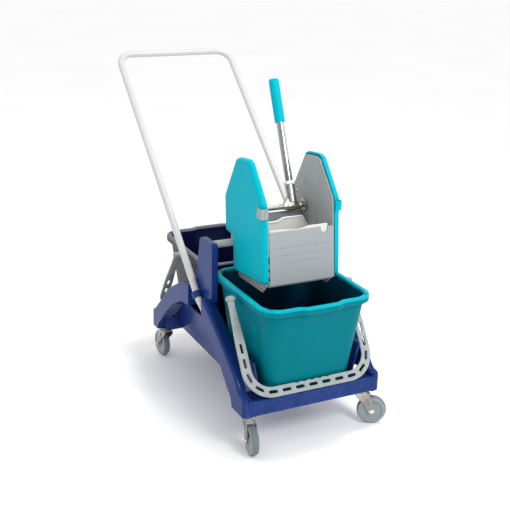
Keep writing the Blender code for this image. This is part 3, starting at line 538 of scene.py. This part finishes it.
def bucket_ring(front, half_w, half_l, radius, z, spout):
    points = []
    for index, (cx, cy) in enumerate(((1, 1), (-1, 1), (-1, -1), (1, -1))):
        centre = Vector((cx * (half_w - radius), cy * (half_l - radius), 0.0))
        for k in range(13):
            a = math.pi / 2 * (index + k / 12)
            points.append(centre + Vector((math.cos(a), math.sin(a), 0.0)) * radius)
        if index == 2:
            for k in range(1, 24):
                x = -0.072 + 0.144 * k / 24
                edge = step(0.066, 0.040, abs(x))
                points.append(Vector((x, -half_l - spout * edge, 0.0)))
        elif index == 0:
            for k in range(1, 8):
                points.append(Vector(((half_w - radius) * (1 - 2 * k / 8), half_l, 0.0)))
        else:
            for k in range(1, 8):
                points.append(Vector((cx * half_w, (half_l - radius) * cy * (1 - 2 * k / 8), 0.0)))
    ring = [Vector((p.x, p.y - B_MID, z)) for p in points]
    return ring if front else [Vector((-p.x, -p.y, p.z)) for p in ring]


def bucket(name, mat, inside_and_rim_mats, front, body, node):
    tall = B_Z1 - 0.012 - B_Z0

    def lean_at(z):
        return 1.0 - (z - B_Z0) / tall

    lip = 0.009
    profile = [(-0.011, B_Z0, 0), (-0.005, B_Z0 + 0.0012, 0), (-0.001, B_Z0 + 0.0045, 0), (0, B_Z0 + 0.010, 0),
               (0, 0.170, 0), (0, 0.230, 0), (0, 0.290, 0), (0, 0.332, 0), (0, 0.352, lip * 0.3), (0, 0.370, lip * 0.8),
               (0, 0.3815, lip), (0.0008, 0.3842, lip), (0.0078, 0.3848, lip), (0.0086, 0.3838, lip), (0.0086, 0.3788, lip),
               (0.0092, 0.3780, lip), (0.0108, 0.3780, lip), (0.0115, 0.3790, lip), (0.0115, 0.3905, lip),
               (0.0110, 0.3935, lip), (0.0095, 0.3953, lip), (0.0070, B_Z1, lip), (0.0015, B_Z1, lip),
               (-0.0012, 0.3952, lip), (-0.0026, 0.3930, lip), (-0.0030, 0.3890, lip), (-0.0030, 0.370, lip * 0.8),
               (-0.0030, 0.352, lip * 0.3), (-0.0030, 0.332, 0), (-0.0030, 0.250, 0), (-0.0030, 0.170, 0),
               (-0.0030, B_Z0 + 0.013, 0), (-0.0042, B_Z0 + 0.0075, 0), (-0.0085, B_Z0 + 0.0040, 0), (-0.0140, B_Z0 + 0.0032, 0)]
    rings = []
    for out, z, spout in profile:
        lean = lean_at(min(z, B_Z1 - 0.012))
        rings.append(bucket_ring(front, B_W + out - SIDE_DRAFT * lean, B_L + out - DRAFT * lean,
                                 0.046 + out * 0.6 - 0.013 * lean, z, spout))
    ob = temp(loft(new(), rings))
    sy = -1.0 if front else 1.0
    for side, sx in SIDES:
        ob = join(ob, turn_on(new(), (sx * 0.1455, sy * B_MID, 0.376), (sx, 0, 0),
                              [(0.0095, 0.0), (0.0095, 0.0160), (0.0085, 0.0170)], 28))
        # two webs that carry the boss under the flange
        for off in (-0.0135, 0.0135):
            ob = join(ob, box(new(), sorted((sx * 0.1440, sx * 0.1578)), (sy * B_MID + off - 0.0012, sy * B_MID + off + 0.0012),
                              (0.362, 0.3846)))
        ob = cut(ob, turn_on(new(), (sx * 0.1500, sy * B_MID, 0.376), (sx, 0, 0), [(0.0044, 0), (0.0044, 0.02)], 20))
    # level marks moulded on the long side
    for k in range(7):
        z = 0.190 + 0.022 * k
        x_at = B_W - SIDE_DRAFT * lean_at(z)
        long = 0.016 if k % 2 == 0 else 0.009
        ob = join(ob, box(new(), sorted((-(x_at - 0.001), -(x_at + 0.0006))), (sy * B_MID - 0.075, sy * B_MID - 0.075 + long),
                          (z - 0.0008, z + 0.0008)))
    inside_mat, rim_mat = inside_and_rim_mats
    made = finish(ob, name, mat, body, [node], sharp=38, weighted=False)
    made.data.materials.append(inside_mat)
    made.data.materials.append(rim_mat)
    axis = Vector((0.0, sy * B_MID, 0.0)) + OFF
    for face in made.data.polygons:
        outwards = face.center - axis
        reach = max(abs(outwards.x) - B_W, abs(outwards.y) - B_L)
        facing = face.normal.x * outwards.x + face.normal.y * outwards.y
        # rim top faces: painted highlight on both buckets
        if face.center.z > 0.3865 and reach > -0.0060:
            face.material_index = 2
        # inner faces: on the front bucket these carry painted shade
        elif (facing < 0.0 or face.normal.z > 0.7) and reach < -0.0012 and face.center.z < 0.3935:
            face.material_index = 1
    return made


bucket("bucket_front", TEAL, (TEAL_INSIDE_SHADED, TEAL_RIM_LIT), True, "front_bucket_body", "front_bucket")
bucket("bucket_rear", NAVY, (NAVY, NAVY_RIM_LIT), False, "rear_bucket_body", "rear_bucket")

BAIL_Z, BAIL_TILT, BAIL_REACH, BAIL_X, BAIL_W, BAIL_T, BAIL_BEND = 0.376, math.radians(33.0), 0.2540, 0.1765, 0.0270, 0.0060, 0.064


def bail(name, front, body, node):
    sy = -1.0 if front else 1.0
    pivot = Vector((0.0, sy * B_MID, BAIL_Z))
    down = Vector((0.0, sy * math.sin(BAIL_TILT), -math.cos(BAIL_TILT)))
    normal = X_AXIS.cross(down).normalized()
    arm = [pivot - down * 0.002 + down * (0.012 * k) - X_AXIS * BAIL_X for k in range(16)]
    centre = pivot + down * (BAIL_REACH - BAIL_BEND) - X_AXIS * (BAIL_X - BAIL_BEND)
    half_path = [p for p in arm if (p - pivot + X_AXIS * BAIL_X).length < BAIL_REACH - BAIL_BEND - 0.004]
    for k in range(19):
        a = math.pi / 2 * k / 18
        half_path.append(centre - X_AXIS * (BAIL_BEND * math.cos(a)) + down * (BAIL_BEND * math.sin(a)))
    x0 = BAIL_X - BAIL_BEND
    flat = [pivot + down * BAIL_REACH + X_AXIS * (-x0 + 2 * x0 * k / 80) for k in range(1, 80)]
    path = half_path + flat + [Vector((-p.x, p.y, p.z)) for p in reversed(half_path)]
    lengths = [0.0]
    for a, b in zip(path, path[1:]):
        lengths.append(lengths[-1] + (b - a).length)
    total = lengths[-1]

    def section(i):
        d = min(lengths[i], total - lengths[i])
        wide = 0.0088 + 0.0047 * step(0.02, 0.135, d)
        inner, outer = wide, wide
        x = path[i].x
        if abs(x) < 0.056 and d > 0.25:
            inner -= 0.0022 * (0.5 - 0.5 * math.cos(2 * math.pi * (x + 0.056) / 0.0224))
        t, c = BAIL_T / 2, 0.0011
        # the side vector points out of the loop for this winding
        return [(-inner, -t + c), (-inner + c, -t), (outer - c, -t), (outer, -t + c),
                (outer, t - c), (outer - c, t), (-inner + c, t), (-inner, t - c)]

    probe = (path[1] - path[0]).normalized().cross(normal)
    flip = probe.x > 0     # on the left arm, outwards is -X

    def oriented(i):
        made = section(i)
        return [(-s, n) for s, n in reversed(made)] if flip else made

    ob = temp(sweep(new(), path, normal, oriented))
    for side, sx in SIDES:
        ob = join(ob, turn_on(new(), (sx * (BAIL_X - 0.0088), pivot.y, BAIL_Z), (sx, 0, 0),
                              [(0.0072, 0.0), (0.0082, 0.001), (0.0082, 0.0166), (0.0072, 0.0176)], 28))
        ob = cut(ob, turn_on(new(), (sx * 0.155, pivot.y, BAIL_Z), (sx, 0, 0), [(0.0044, 0), (0.0044, 0.045)], 20))
    pitch, long, wide = 0.0388, 0.0262, 0.0086
    count = 15
    slots = new()
    for k in range(count):
        d = total / 2 + (k - (count - 1) / 2) * pitch
        if min(d, total - d) < 0.110:
            continue
        rings = [[], []]
        for q in range(24):
            a = 2 * math.pi * q / 24
            s = (long - wide) / 2 * (1 if math.cos(a) > 0 else -1) + wide / 2 * math.cos(a)
            w = wide / 2 * math.sin(a)
            e = d + s
            i = max(j for j in range(len(path) - 1) if lengths[j] <= e)
            middle = path[i].lerp(path[i + 1], (e - lengths[i]) / (lengths[i + 1] - lengths[i]))
            side_dir = (path[i + 1] - path[i]).normalized().cross(normal)
            rings[0].append(middle + side_dir * w - normal * 0.02)
            rings[1].append(middle + side_dir * w + normal * 0.02)
        loft(slots, rings)
    ob = cut(ob, slots)
    finish(ob, name, STRAP, body, [node], bevel=0.0007, segments=2, angle=50, sharp=50)
    for side, sx in SIDES:
        finish(turn_on(new(), (sx * 0.1512, pivot.y, BAIL_Z), (sx, 0, 0),
                       [(0.0036, 0.0), (0.0040, 0.0006), (0.0040, 0.0346), (0.0058, 0.0346), (0.0060, 0.0350), (0.0060, 0.0358),
                        (0.0052, 0.0364), (0.0034, 0.0366)], 24),
               name + "_pin_" + side, STRAP, body, [node + "_pin_" + side])


# ---- wringer ----------------------------------------------------------------------------------
SHAFT_Y, SHAFT_Z, SHAFT_R = -0.073, 0.5695, 0.0075
LEVER_X = 0.0575
LEVER = Vector((0.0, math.sin(LEAN), math.cos(LEAN)))
SHAFT_AT = Vector((LEVER_X, SHAFT_Y, SHAFT_Z))
PLATE_IN, PLATE_OUT = 0.0935, 0.0965
COVER_IN, COVER_OUT, COVER_WALL = 0.0970, 0.1140, 0.0050
EAR = [(-0.2440, 0.4230), (-0.0600, 0.4040), (-0.0540, 0.4980), (-0.0070, 0.5010), (0.0010, 0.6000),
       (-0.0650, 0.7120), (-0.0800, 0.7180), (-0.1330, 0.7230), (-0.1490, 0.7180), (-0.2250, 0.6280)]


def ear_block(outline, sign, x_open, x_face, edge, depth, steps=6):
    """A shallow cap: the rim at x_open, its face at x_face, with a quarter-round edge between them."""
    rings = [[Vector((sign * x_open, y, z)) for y, z in outline]]
    for k in range(steps + 1):
        a = math.pi / 2 * k / steps
        inset, x = edge * (1 - math.cos(a)), x_face - depth * (1 - math.sin(a))
        rings.append([Vector((sign * x, y, z)) for y, z in shifted(outline, inset)])
    return loft(new(), rings)


def cover(side, sign):
    outline = round_profile(EAR, 0.011, 6)
    ob = temp(ear_block(outline, sign, COVER_IN, COVER_OUT - 0.0014, 0.0100, 0.0100))
    hollow = ear_block(shifted(outline, COVER_WALL), sign, COVER_IN - 0.005, COVER_OUT - 0.0040, 0.0060, 0.0060)
    ob = cut(ob, hollow)
    # moulded beads along the lower edge
    for up, r in ((0.0085, 0.0021), (0.0150, 0.0019), (0.0208, 0.0015)):
        a = Vector((sign * (COVER_OUT - r), -0.2300, 0.4216 + up))
        b = Vector((sign * (COVER_OUT - r), -0.0700, 0.4050 + up))
        ob = join(ob, turn_on(new(), a, (b - a), [(r * 0.4, 0.0), (r, 0.002), (r, (b - a).length - 0.002),
                                                  (r * 0.4, (b - a).length)], 14))
    return finish(ob, "side_cover_" + side, CYAN, "wringer", ["cover_" + side], sharp=40, weighted=True)


def side_plate(side, sign):
    r = RAIL_R + 0.0005
    hook = [(RAIL_Y + r * math.cos(math.pi * k / 12), RAIL_Z + r * math.sin(math.pi * k / 12)) for k in range(13)]
    body = [(-0.2340, 0.4160), (-0.2100, 0.3900), (-0.0700, 0.3860), (-0.0580, 0.4000), (-0.0560, 0.4480),
            (-0.0470, 0.4560), (RAIL_Y - r, 0.4560)] + list(reversed(hook)) + [(RAIL_Y + r, 0.4560)]
    body += [(-0.0130, 0.4560), (-0.0120, 0.5030), (-0.0050, 0.5975), (-0.0685, 0.7055), (-0.0815, 0.7105),
             (-0.1312, 0.7150), (-0.1455, 0.7108), (-0.2185, 0.6255), (-0.2262, 0.5600)]
    body = [p for i, p in enumerate(body) if i == 0 or (Vector(p) - Vector(body[i - 1])).length > 1e-6]
    lo, hi = sorted((sign * PLATE_IN, sign * PLATE_OUT))
    ob = temp(prism(new(), body, "X", lo, hi))
    ob = cut(ob, turn_on(new(), (sign * 0.080, SHAFT_Y, SHAFT_Z), (sign, 0, 0), [(0.0145, 0), (0.0145, 0.03)], 36),
             box(new(), sorted((sign * 0.090, sign * 0.100)), (-0.1600, -0.0880), (0.5130, 0.5250)))
    # upright stiffening rib and a small slot mark on the inner face
    ob = join(ob, box(new(), sorted((sign * (PLATE_IN - 0.0012), sign * (PLATE_IN + 0.0005))), (-0.1420, -0.1385), (0.5300, 0.7060)))
    ob = cut(ob, box(new(), sorted((sign * (PLATE_IN - 0.001), sign * (PLATE_IN + 0.0012))), (-0.2092, -0.2072), (0.5890, 0.6050)))
    return finish(ob, "cheek_" + side, PLATE_GREY, "wringer", ["side_plate_" + side], bevel=0.0006,
                  segments=2, angle=50)


def clip(side, sign):
    if side == "right":
        flush = [(0.1143, -0.2060), (0.1149, -0.2060), (0.1149, -0.2300), (0.0980, -0.2300), (0.0980, -0.2293), (0.1143, -0.2293)]
        ob = temp(prism(new(), flush, "Z", 0.5930, 0.6190))
        return finish(ob, "catch_right", CYAN, "wringer", ["cover_clip_right"], bevel=0.0002, segments=2)
    outline = [(0.1144, -0.2050), (0.1170, -0.2050), (0.1170, -0.2316), (0.0975, -0.2316), (0.0975, -0.2290), (0.1144, -0.2290)]
    ob = temp(prism(new(), [(sign * x, y) for x, y in outline], "Z", 0.5930, 0.6190))
    for z0, z1 in ((0.5930, 0.5975), (0.6145, 0.6190)):
        ob = join(ob, box(new(), sorted((sign * 0.1168, sign * 0.1180)), (-0.2300, -0.2120), (z0, z1)))
    ob = join(ob, box(new(), sorted((sign * 0.1000, sign * 0.1060)), (-0.2328, -0.2312), (0.5960, 0.6160)))
    ob = cut(ob, box(new(), sorted((sign * 0.1160, sign * 0.1200)), (-0.2125, -0.2040), (0.6120, 0.6200)))
    return finish(ob, "catch_left", STRAP, "wringer", ["cover_clip_left"], bevel=0.0008, segments=2)


def front_y(z):
    return -0.2466 + (z - 0.420) * 0.1066


def leaning(z, out):
    return front_y(z) + out


def leaning_solid(outline, back, thick):
    """Flat outline of (x, z) points, stood up on the lean of the front plate."""
    bm = new()
    rows = [[bm.verts.new((x, front_y(z) + back + d, z)) for x, z in outline] for d in (0.0, thick)]
    bm.faces.new(rows[0])
    bm.faces.new(list(reversed(rows[1])))
    for i in range(len(outline)):
        j = (i + 1) % len(outline)
        bm.faces.new((rows[0][i], rows[0][j], rows[1][j], rows[1][i]))
    return bm


def front_plate():
    half = PLATE_IN - 0.0004
    top = 0.5560
    notch = [(0.0650 + 0.0105 * math.cos(math.pi + math.pi * k / 14), top - 0.004 + 0.0110 * math.sin(math.pi + math.pi * k / 14))
             for k in range(15)]
    outline = [(-half, 0.4200), (half, 0.4200), (half, top), (0.0755, top)] + list(reversed(notch)) + [(0.0545, top), (-half, top)]
    ob = temp(leaning_solid(outline, 0.0, 0.0030))
    for x0, x1, z in ((-0.0840, 0.0800, 0.5140), (-0.0680, 0.0720, 0.4940), (-0.0575, 0.0550, 0.4755)):
        groove = turn_on(new(), (x0, front_y(z) - 0.0004, z), X_AXIS,
                         [(0.0006, 0.0), (0.0014, 0.0020), (0.0014, x1 - x0 - 0.0020), (0.0006, x1 - x0)], 16)
        ob = cut(ob, groove)
    return finish(ob, "front_panel", GREY, "wringer", ["front_plate"], bevel=0.0008, segments=2, angle=55)


def front_liner():
    top = []
    for k in range(33):
        x = 0.0760 - 0.1660 * k / 32
        z = 0.5610 + 0.0020 * step(0.0, 0.03, x) - 0.0035 * step(-0.055, -0.030, x) * (1 - step(-0.005, 0.020, x))
        top.append((x, z))
    outline = [(-0.0900, 0.4350), (0.0900, 0.4350), (0.0900, 0.5530), (0.0765, 0.5530)] + top
    ob = temp(leaning_solid(outline, 0.0034, 0.0026))
    return finish(ob, "front_lining", LINER, "wringer", ["front_liner"], bevel=0.0008, segments=2, angle=55)


JAW_Y = -0.094


def press_jaw():
    outline = [(-0.0900, 0.4400), (0.0900, 0.4400), (0.0900, 0.5240), (0.0765, 0.5465), (0.0735, 0.5480), (0.0180, 0.5480),
               (0.0130, 0.5465), (0.0050, 0.5425), (-0.0010, 0.5400), (-0.0900, 0.5385)]
    outline = round_profile(outline, 0.006, 4)
    ob = temp(prism(new(), outline, "Y", JAW_Y - 0.0030, JAW_Y))
    # rolled edge round the face, open in the middle like a shallow pan
    rim = temp(prism(new(), outline, "Y", JAW_Y - 0.0060, JAW_Y - 0.0020))
    rim = cut(rim, prism(new(), shifted(outline, 0.0042), "Y", JAW_Y - 0.0080, JAW_Y))
    extra = bmesh.new()
    extra.from_mesh(rim.data)
    bpy.data.objects.remove(rim, do_unlink=True)
    ob = join(ob, extra)
    for k in range(5):
        x = -0.068 + 0.034 * k
        ob = join(ob, box(new(), (x - 0.002, x + 0.002), (JAW_Y - 0.001, JAW_Y + 0.010), (0.4500, 0.5300)))
    return finish(ob, "jaw_face", WHITE, "jaw", ["press_jaw"], bevel=0.0012, segments=3, angle=50)


def back_and_floor():
    ob = temp(box(new(), (-PLATE_IN + 0.0004, PLATE_IN - 0.0004), (-0.0610, -0.0580), (0.4200, 0.5530)))
    for z in (0.450, 0.480, 0.510, 0.540):
        ob = join(ob, box(new(), (-0.080, 0.080), (-0.0582, -0.0572), (z - 0.0015, z + 0.0015)))
    finish(ob, "rear_panel", GREY, "wringer", ["back_plate"], bevel=0.0008, segments=2)
    ob = temp(prism(new(), [(-0.2370, 0.4150), (-0.0670, 0.4290), (-0.0670, 0.4260), (-0.2370, 0.4120)], "X",
                    -PLATE_IN + 0.0004, PLATE_IN - 0.0004))
    holes = new()
    for k in range(7):
        x = -0.072 + 0.024 * k
        prism(holes, round_profile([(x - 0.004, -0.215), (x + 0.004, -0.215), (x + 0.004, -0.090), (x - 0.004, -0.090)], 0.0038, 5),
              "Z", 0.400, 0.440)
    finish(cut(ob, holes), "drain_tray", GREY, "wringer", ["drain_floor"], bevel=0.0005, segments=2, angle=50)


def lever_set():
    finish(turn_on(new(), (-0.1100, SHAFT_Y, SHAFT_Z), X_AXIS, [(SHAFT_R - 0.0010, 0.0), (SHAFT_R, 0.0010), (SHAFT_R, 0.2190),
                                                                (SHAFT_R - 0.0010, 0.2200)], 40),
           "shaft_rod", STEEL, "lever", ["cross_shaft"])
    # bent socket: the elbow runs out of the shaft on the left and carries a short hub on the right
    ob = turn_on(new(), (0.0400, SHAFT_Y, SHAFT_Z), X_AXIS, [(0.0088, -0.012), (0.0096, -0.004), (0.0120, 0.003), (0.0128, 0.010),
                                                             (0.0128, 0.022), (0.0108, 0.026), (0.0106, 0.036), (0.0118, 0.038),
                                                             (0.0118, 0.0425), (0.0108, 0.0430)], 40)
    ob = join(ob, turn_on(new(), SHAFT_AT, LEVER, [(0.0122, 0.0), (0.0136, 0.010), (0.0138, 0.0575)], 40))
    web = [(LEVER_X - 0.0290, SHAFT_Z + 0.0040), (LEVER_X, SHAFT_Z - 0.006), (LEVER_X - 0.0060, SHAFT_Z + 0.0300)]
    wedge = new()
    rows = [[wedge.verts.new((x, SHAFT_Y + math.tan(LEAN) * (z - SHAFT_Z) + off, z)) for x, z in web] for off in (-0.0065, 0.0065)]
    wedge.faces.new(rows[0])
    wedge.faces.new(list(reversed(rows[1])))
    for i in range(3):
        wedge.faces.new((rows[0][i], rows[0][(i + 1) % 3], rows[1][(i + 1) % 3], rows[1][i]))
    ob = join(ob, wedge)
    modify(ob, "REMESH", mode="VOXEL", voxel_size=0.0008)
    modify(ob, "SMOOTH", factor=0.7, iterations=18)
    apply(ob)
    ob = cut(ob, turn_on(new(), (0.0200, SHAFT_Y, SHAFT_Z), X_AXIS, [(SHAFT_R + 0.0004, 0.0), (SHAFT_R + 0.0004, 0.080)], 40))
    finish(ob, "tee", STEEL, "lever", ["lever_socket"], sharp=60, weighted=False)
    for side, sign in SIDES:
        finish(turn_on(new(), (sign * 0.0881, SHAFT_Y, SHAFT_Z), (sign, 0, 0),
                       [(SHAFT_R + 0.0004, 0.0006), (0.0110, 0.0), (0.0120, 0.0010), (0.0150, 0.0010), (0.0180, 0.0004),
                        (0.0190, 0.0014), (0.0190, 0.0040), (0.0180, 0.0050), (0.0141, 0.0050), (0.0141, 0.0094),
                        (SHAFT_R + 0.0004, 0.0094)], 48, closed=True),
               "bush_" + side, STEEL, "wringer", ["shaft_bush_" + side])
    collar = [(0.0114, 0.0579), (0.0146, 0.0579), (0.0150, 0.0584), (0.0150, 0.0612), (0.0143, 0.0616), (0.0143, 0.0628),
              (0.0150, 0.0632), (0.0150, 0.0660), (0.0146, 0.0665), (0.0114, 0.0665)]
    finish(turn_on(new(), SHAFT_AT, LEVER, collar, 40, closed=True), "collar", WHITE, "lever", ["lever_collar"])
    finish(turn_on(new(), SHAFT_AT, LEVER, [(0.0110, 0.0579), (0.0110, 0.3230)], 48), "lever_rod", CHROME, "lever",
           ["lever_tube"], weighted=False)
    grip = [(0.0114, 0.2275), (0.0128, 0.2275), (0.0134, 0.2279), (0.0138, 0.2290), (0.0139, 0.2330), (0.0141, 0.2850),
            (0.0141, 0.3360), (0.0139, 0.3410), (0.0133, 0.3444), (0.0121, 0.3464), (0.0100, 0.3473), (0.0050, 0.3475),
            (0.0004, 0.3475), (0.0004, 0.3236), (0.0114, 0.3234)]
    finish(turn_on(new(), SHAFT_AT, LEVER, grip, 48, closed=True), "hand_grip", CYAN, "lever", ["lever_grip"],
           weighted=False)


bail("carry_loop_front", True, "front_bail_body", "front_bail")
bail("carry_loop_rear", False, "rear_bail_body", "rear_bail")
for side_name, s in SIDES:
    side_plate(side_name, s)
    cover(side_name, s)
    clip(side_name, s)
front_plate()
front_liner()
press_jaw()
back_and_floor()
lever_set()
keep(["pinion_left", "pinion_right", "rack_left", "rack_right"], WHITE)

# ---- casters ----------------------------------------------------------------------------------
WHEEL_R, WHEEL_W, TRAIL = 0.040, 0.021, 0.030


def fork_mesh():
    w, t = WHEEL_W / 2 + 0.0016, 0.0024
    r = 0.006
    outer = [(-(w + t), 0.028), (-(w + t), 0.0970 - r)]
    for k in range(1, 7):
        a = math.pi / 2 * k / 6
        outer.append((-(w + t) + r * (1 - math.cos(a)), 0.0970 - r + r * math.sin(a)))
    outer += [(-y, z) for y, z in reversed(outer)]
    inner = [(-w, 0.028), (-w, 0.0970 - r)]
    for k in range(1, 7):
        a = math.pi / 2 * k / 6
        inner.append((-w + (r - t) * (1 - math.cos(a)), 0.0970 - r + (r - t) * math.sin(a)))
    inner += [(-y, z) for y, z in reversed(inner)]
    channel = prism(new(), outer + list(reversed(inner)), "X", -0.030, 0.050)
    outline = [(-0.0190, 0.0985), (0.0190, 0.0985), (0.0230, 0.0860), (0.0330, 0.0640), (0.0395, 0.0430), (0.0380, 0.0345),
               (0.0300, 0.0300), (0.0225, 0.0340), (0.0190, 0.0420), (0.0060, 0.0640), (-0.0120, 0.0780), (-0.0185, 0.0880)]
    ob = combine(channel, prism(new(), round_profile(outline, 0.008, 4), "Y", -0.04, 0.04), "INTERSECT")
    ob = join(ob, turn_on(new(), (0, 0, 0.0930), Z_AXIS, [(0.0188, 0.0), (0.0198, 0.0012), (0.0200, 0.0030), (0.0200, 0.0055),
                                                          (0.0188, 0.0068), (0.0150, 0.0074), (0.0150, 0.0090)], 40))
    # pressed stiffening bead down each leg, and the kingpin nut under the crown
    for sy in (-1.0, 1.0):
        a, b = Vector((0.004, sy * (w + t - 0.0004), 0.0860)), Vector((0.0270, sy * (w + t - 0.0004), 0.0520))
        ob = join(ob, turn_on(new(), a, b - a, [(0.0006, 0.0), (0.0016, 0.002), (0.0022, 0.006), (0.0022, (b - a).length - 0.006),
                                                (0.0006, (b - a).length)], 14))
    ob = join(ob, turn_on(new(), (0, 0, 0.0875), Z_AXIS, [(0.0060, 0.0), (0.0068, 0.0008), (0.0068, 0.0078)], 6))
    ob = cut(ob, turn_on(new(), (TRAIL, -0.03, WHEEL_R), Y_AXIS, [(0.0044, 0.0), (0.0044, 0.06)], 24))
    mesh = ob.data.copy()
    bpy.data.objects.remove(ob, do_unlink=True)
    return mesh


CORNERS = {"front_left": -99.5, "front_right": -28.5, "rear_left": 93.0, "rear_right": 64.0}
fork_pattern = fork_mesh()
for corner, degrees in CORNERS.items():
    lo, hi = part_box("caster_plate_" + corner)
    centre = Vector(((lo.x + hi.x) / 2, (lo.y + hi.y) / 2, 0.0)) - OFF
    a = math.radians(degrees)
    trail, axle = Vector((math.cos(a), math.sin(a), 0.0)), Vector((-math.sin(a), math.cos(a), 0.0))
    hub = centre + trail * TRAIL + Z_AXIS * WHEEL_R
    swivel, wheel = "swivel_" + corner, "wheel_" + corner
    finish(turn_on(new(), centre + Z_AXIS * 0.1024, Z_AXIS, [(0.0212, 0.0), (0.0220, 0.0008), (0.0220, 0.0032), (0.0190, 0.0032)], 40),
           "top_plate_" + corner, ZINC, "base", ["caster_plate_" + corner])
    fork = bpy.data.objects.new("fork", fork_pattern.copy())
    bpy.context.scene.collection.objects.link(fork)
    fork.data.transform(Matrix.Translation(centre) @ Matrix.Rotation(a, 4, "Z"))
    finish(fork, "fork_" + corner, ZINC, swivel, ["caster_fork_" + corner], bevel=0.0004, segments=2, angle=50)
    w = WHEEL_W / 2
    profile = [(0.0045, -w - 0.0008), (0.0090, -w - 0.0010), (0.0108, -w - 0.0006), (0.0114, -w + 0.0010), (0.0124, -w + 0.0022),
               (0.0180, -w + 0.0028), (0.0270, -w + 0.0024), (0.0284, -w + 0.0010), (0.0290, -w + 0.0002), (0.0300, -w),
               (0.0304, -w + 0.0005), (0.0308, -w), (0.0352, -w + 0.0002), (0.0372, -w * 0.90), (0.0386, -w * 0.74),
               (0.0396, -w * 0.50), (0.0400, -w * 0.25), (0.0400, 0.0)]
    profile += [(r, -h) for r, h in reversed(profile[:-1])]
    tyre = finish(turn_on(new(), hub, axle, profile, 64, closed=True), "wheel_" + corner + "_tyre", WHEEL_FACE, wheel,
                  ["caster_wheel_" + corner], sharp=50, weighted=False)
    tyre.data.materials.append(TREAD)
    for face in tyre.data.polygons:
        if abs(face.normal.dot(axle)) < 0.80 and (face.center - hub - OFF).length > 0.034:
            face.material_index = 1
    ob = turn_on(new(), hub, axle, [(0.0040, -w - 0.0046), (0.0040, w + 0.0046)], 24)
    for sgn in (-1.0, 1.0):
        ob = join(ob, turn_on(new(), hub + axle * (sgn * (w + 0.0042)), axle * sgn, [(0.0065, 0.0), (0.0065, 0.0012), (0.0052, 0.0012),
                                                                                  (0.0055, 0.0016), (0.0055, 0.0030), (0.0046, 0.0036)], 6 if sgn > 0 else 24))
    finish(ob, "axle_bolt_" + corner, BRIGHT, swivel, ["caster_axle_" + corner], sharp=30)

# ---- small fixings ---------------------------------------------------------------------------
for side_name, s in SIDES:
    for k, (y, z) in enumerate(((-0.150, 0.6975), (-0.030, 0.600), (-0.200, 0.4480))):
        finish(turn_on(new(), (s * (PLATE_IN + 0.0002), y, z), (-s, 0, 0), [(0.0032, 0.0), (0.0032, 0.0006), (0.0024, 0.0013),
                                                                          (0.0010, 0.0016)], 20),
               f"rivet_{side_name}_{k}", BRIGHT, "wringer")
    for k, y in enumerate((-0.205, -0.085)):
        finish(turn_on(new(), (s * (PLATE_OUT - 0.0002), y, 0.4010), (s, 0, 0), [(0.0030, 0.0), (0.0030, 0.0006), (0.0022, 0.0013),
                                                                               (0.0010, 0.0016)], 20),
               f"foot_rivet_{side_name}_{k}", BRIGHT, "wringer")


# ---- floor, light and camera --------------------------------------------------------------------
def floor_material():
    t = Tree("floor_pale")
    tone = t.span(t.noise(1.2, 3.0), 0.3, 0.7, 0.0, 1.0)
    base = t.mix(tone, (0.93, 0.93, 0.93, 1.0), (0.96, 0.96, 0.96, 1.0))
    return t.end(base, t.span(t.noise(9.0), 0.3, 0.7, 0.75, 0.9))


bm = new()
bmesh.ops.create_grid(bm, x_segments=8, y_segments=8, size=30.0)
floor_mesh = bpy.data.meshes.new("floor")
bm.to_mesh(floor_mesh)
bm.free()
floor = bpy.data.objects.new("floor", floor_mesh)
floor.data.materials.append(floor_material())
bpy.context.scene.collection.objects.link(floor)

scene = bpy.context.scene
world = bpy.data.worlds.new("studio")
world.use_nodes = True
world.node_tree.nodes["Background"].inputs["Color"].default_value = (1.0, 1.0, 1.0, 1.0)
world.node_tree.nodes["Background"].inputs["Strength"].default_value = 1.02
scene.world = world
scene.view_settings.view_transform = "Standard"


def area(name, at, target, size, power):
    data = bpy.data.lights.new(name, "AREA")
    data.shape = "RECTANGLE"
    data.size, data.size_y = size
    data.energy = power
    lamp = bpy.data.objects.new(name, data)
    scene.collection.objects.link(lamp)
    lamp.location = at
    lamp.rotation_euler = (Vector(target) - Vector(at)).to_track_quat("-Z", "Y").to_euler()
    return lamp


area("key", (0.5, -2.7, 2.5), (0.0, -0.1, 0.35), (0.9, 0.9), 40.0)
area("top", (0.50, -0.30, 2.5), (0.0, -0.15, 0.3), (0.40, 0.40), 18.0)

camera_data = bpy.data.cameras.new("camera")
camera_data.sensor_width, camera_data.lens = 36.0, 65.545
camera_data.clip_start, camera_data.clip_end = 0.05, 200.0
camera = bpy.data.objects.new("camera", camera_data)
scene.collection.objects.link(camera)
camera.matrix_world = (Matrix.Translation(Vector((-1.11004, -2.18720, 1.26914)) + OFF)
                       @ Matrix.Rotation(math.radians(-26.5752), 4, "Z")
                       @ Matrix.Rotation(math.radians(70.7586), 4, "X")
                       @ Matrix.Rotation(math.radians(1.3741), 4, "Z"))
scene.camera = camera

bpy.context.view_layer.update()
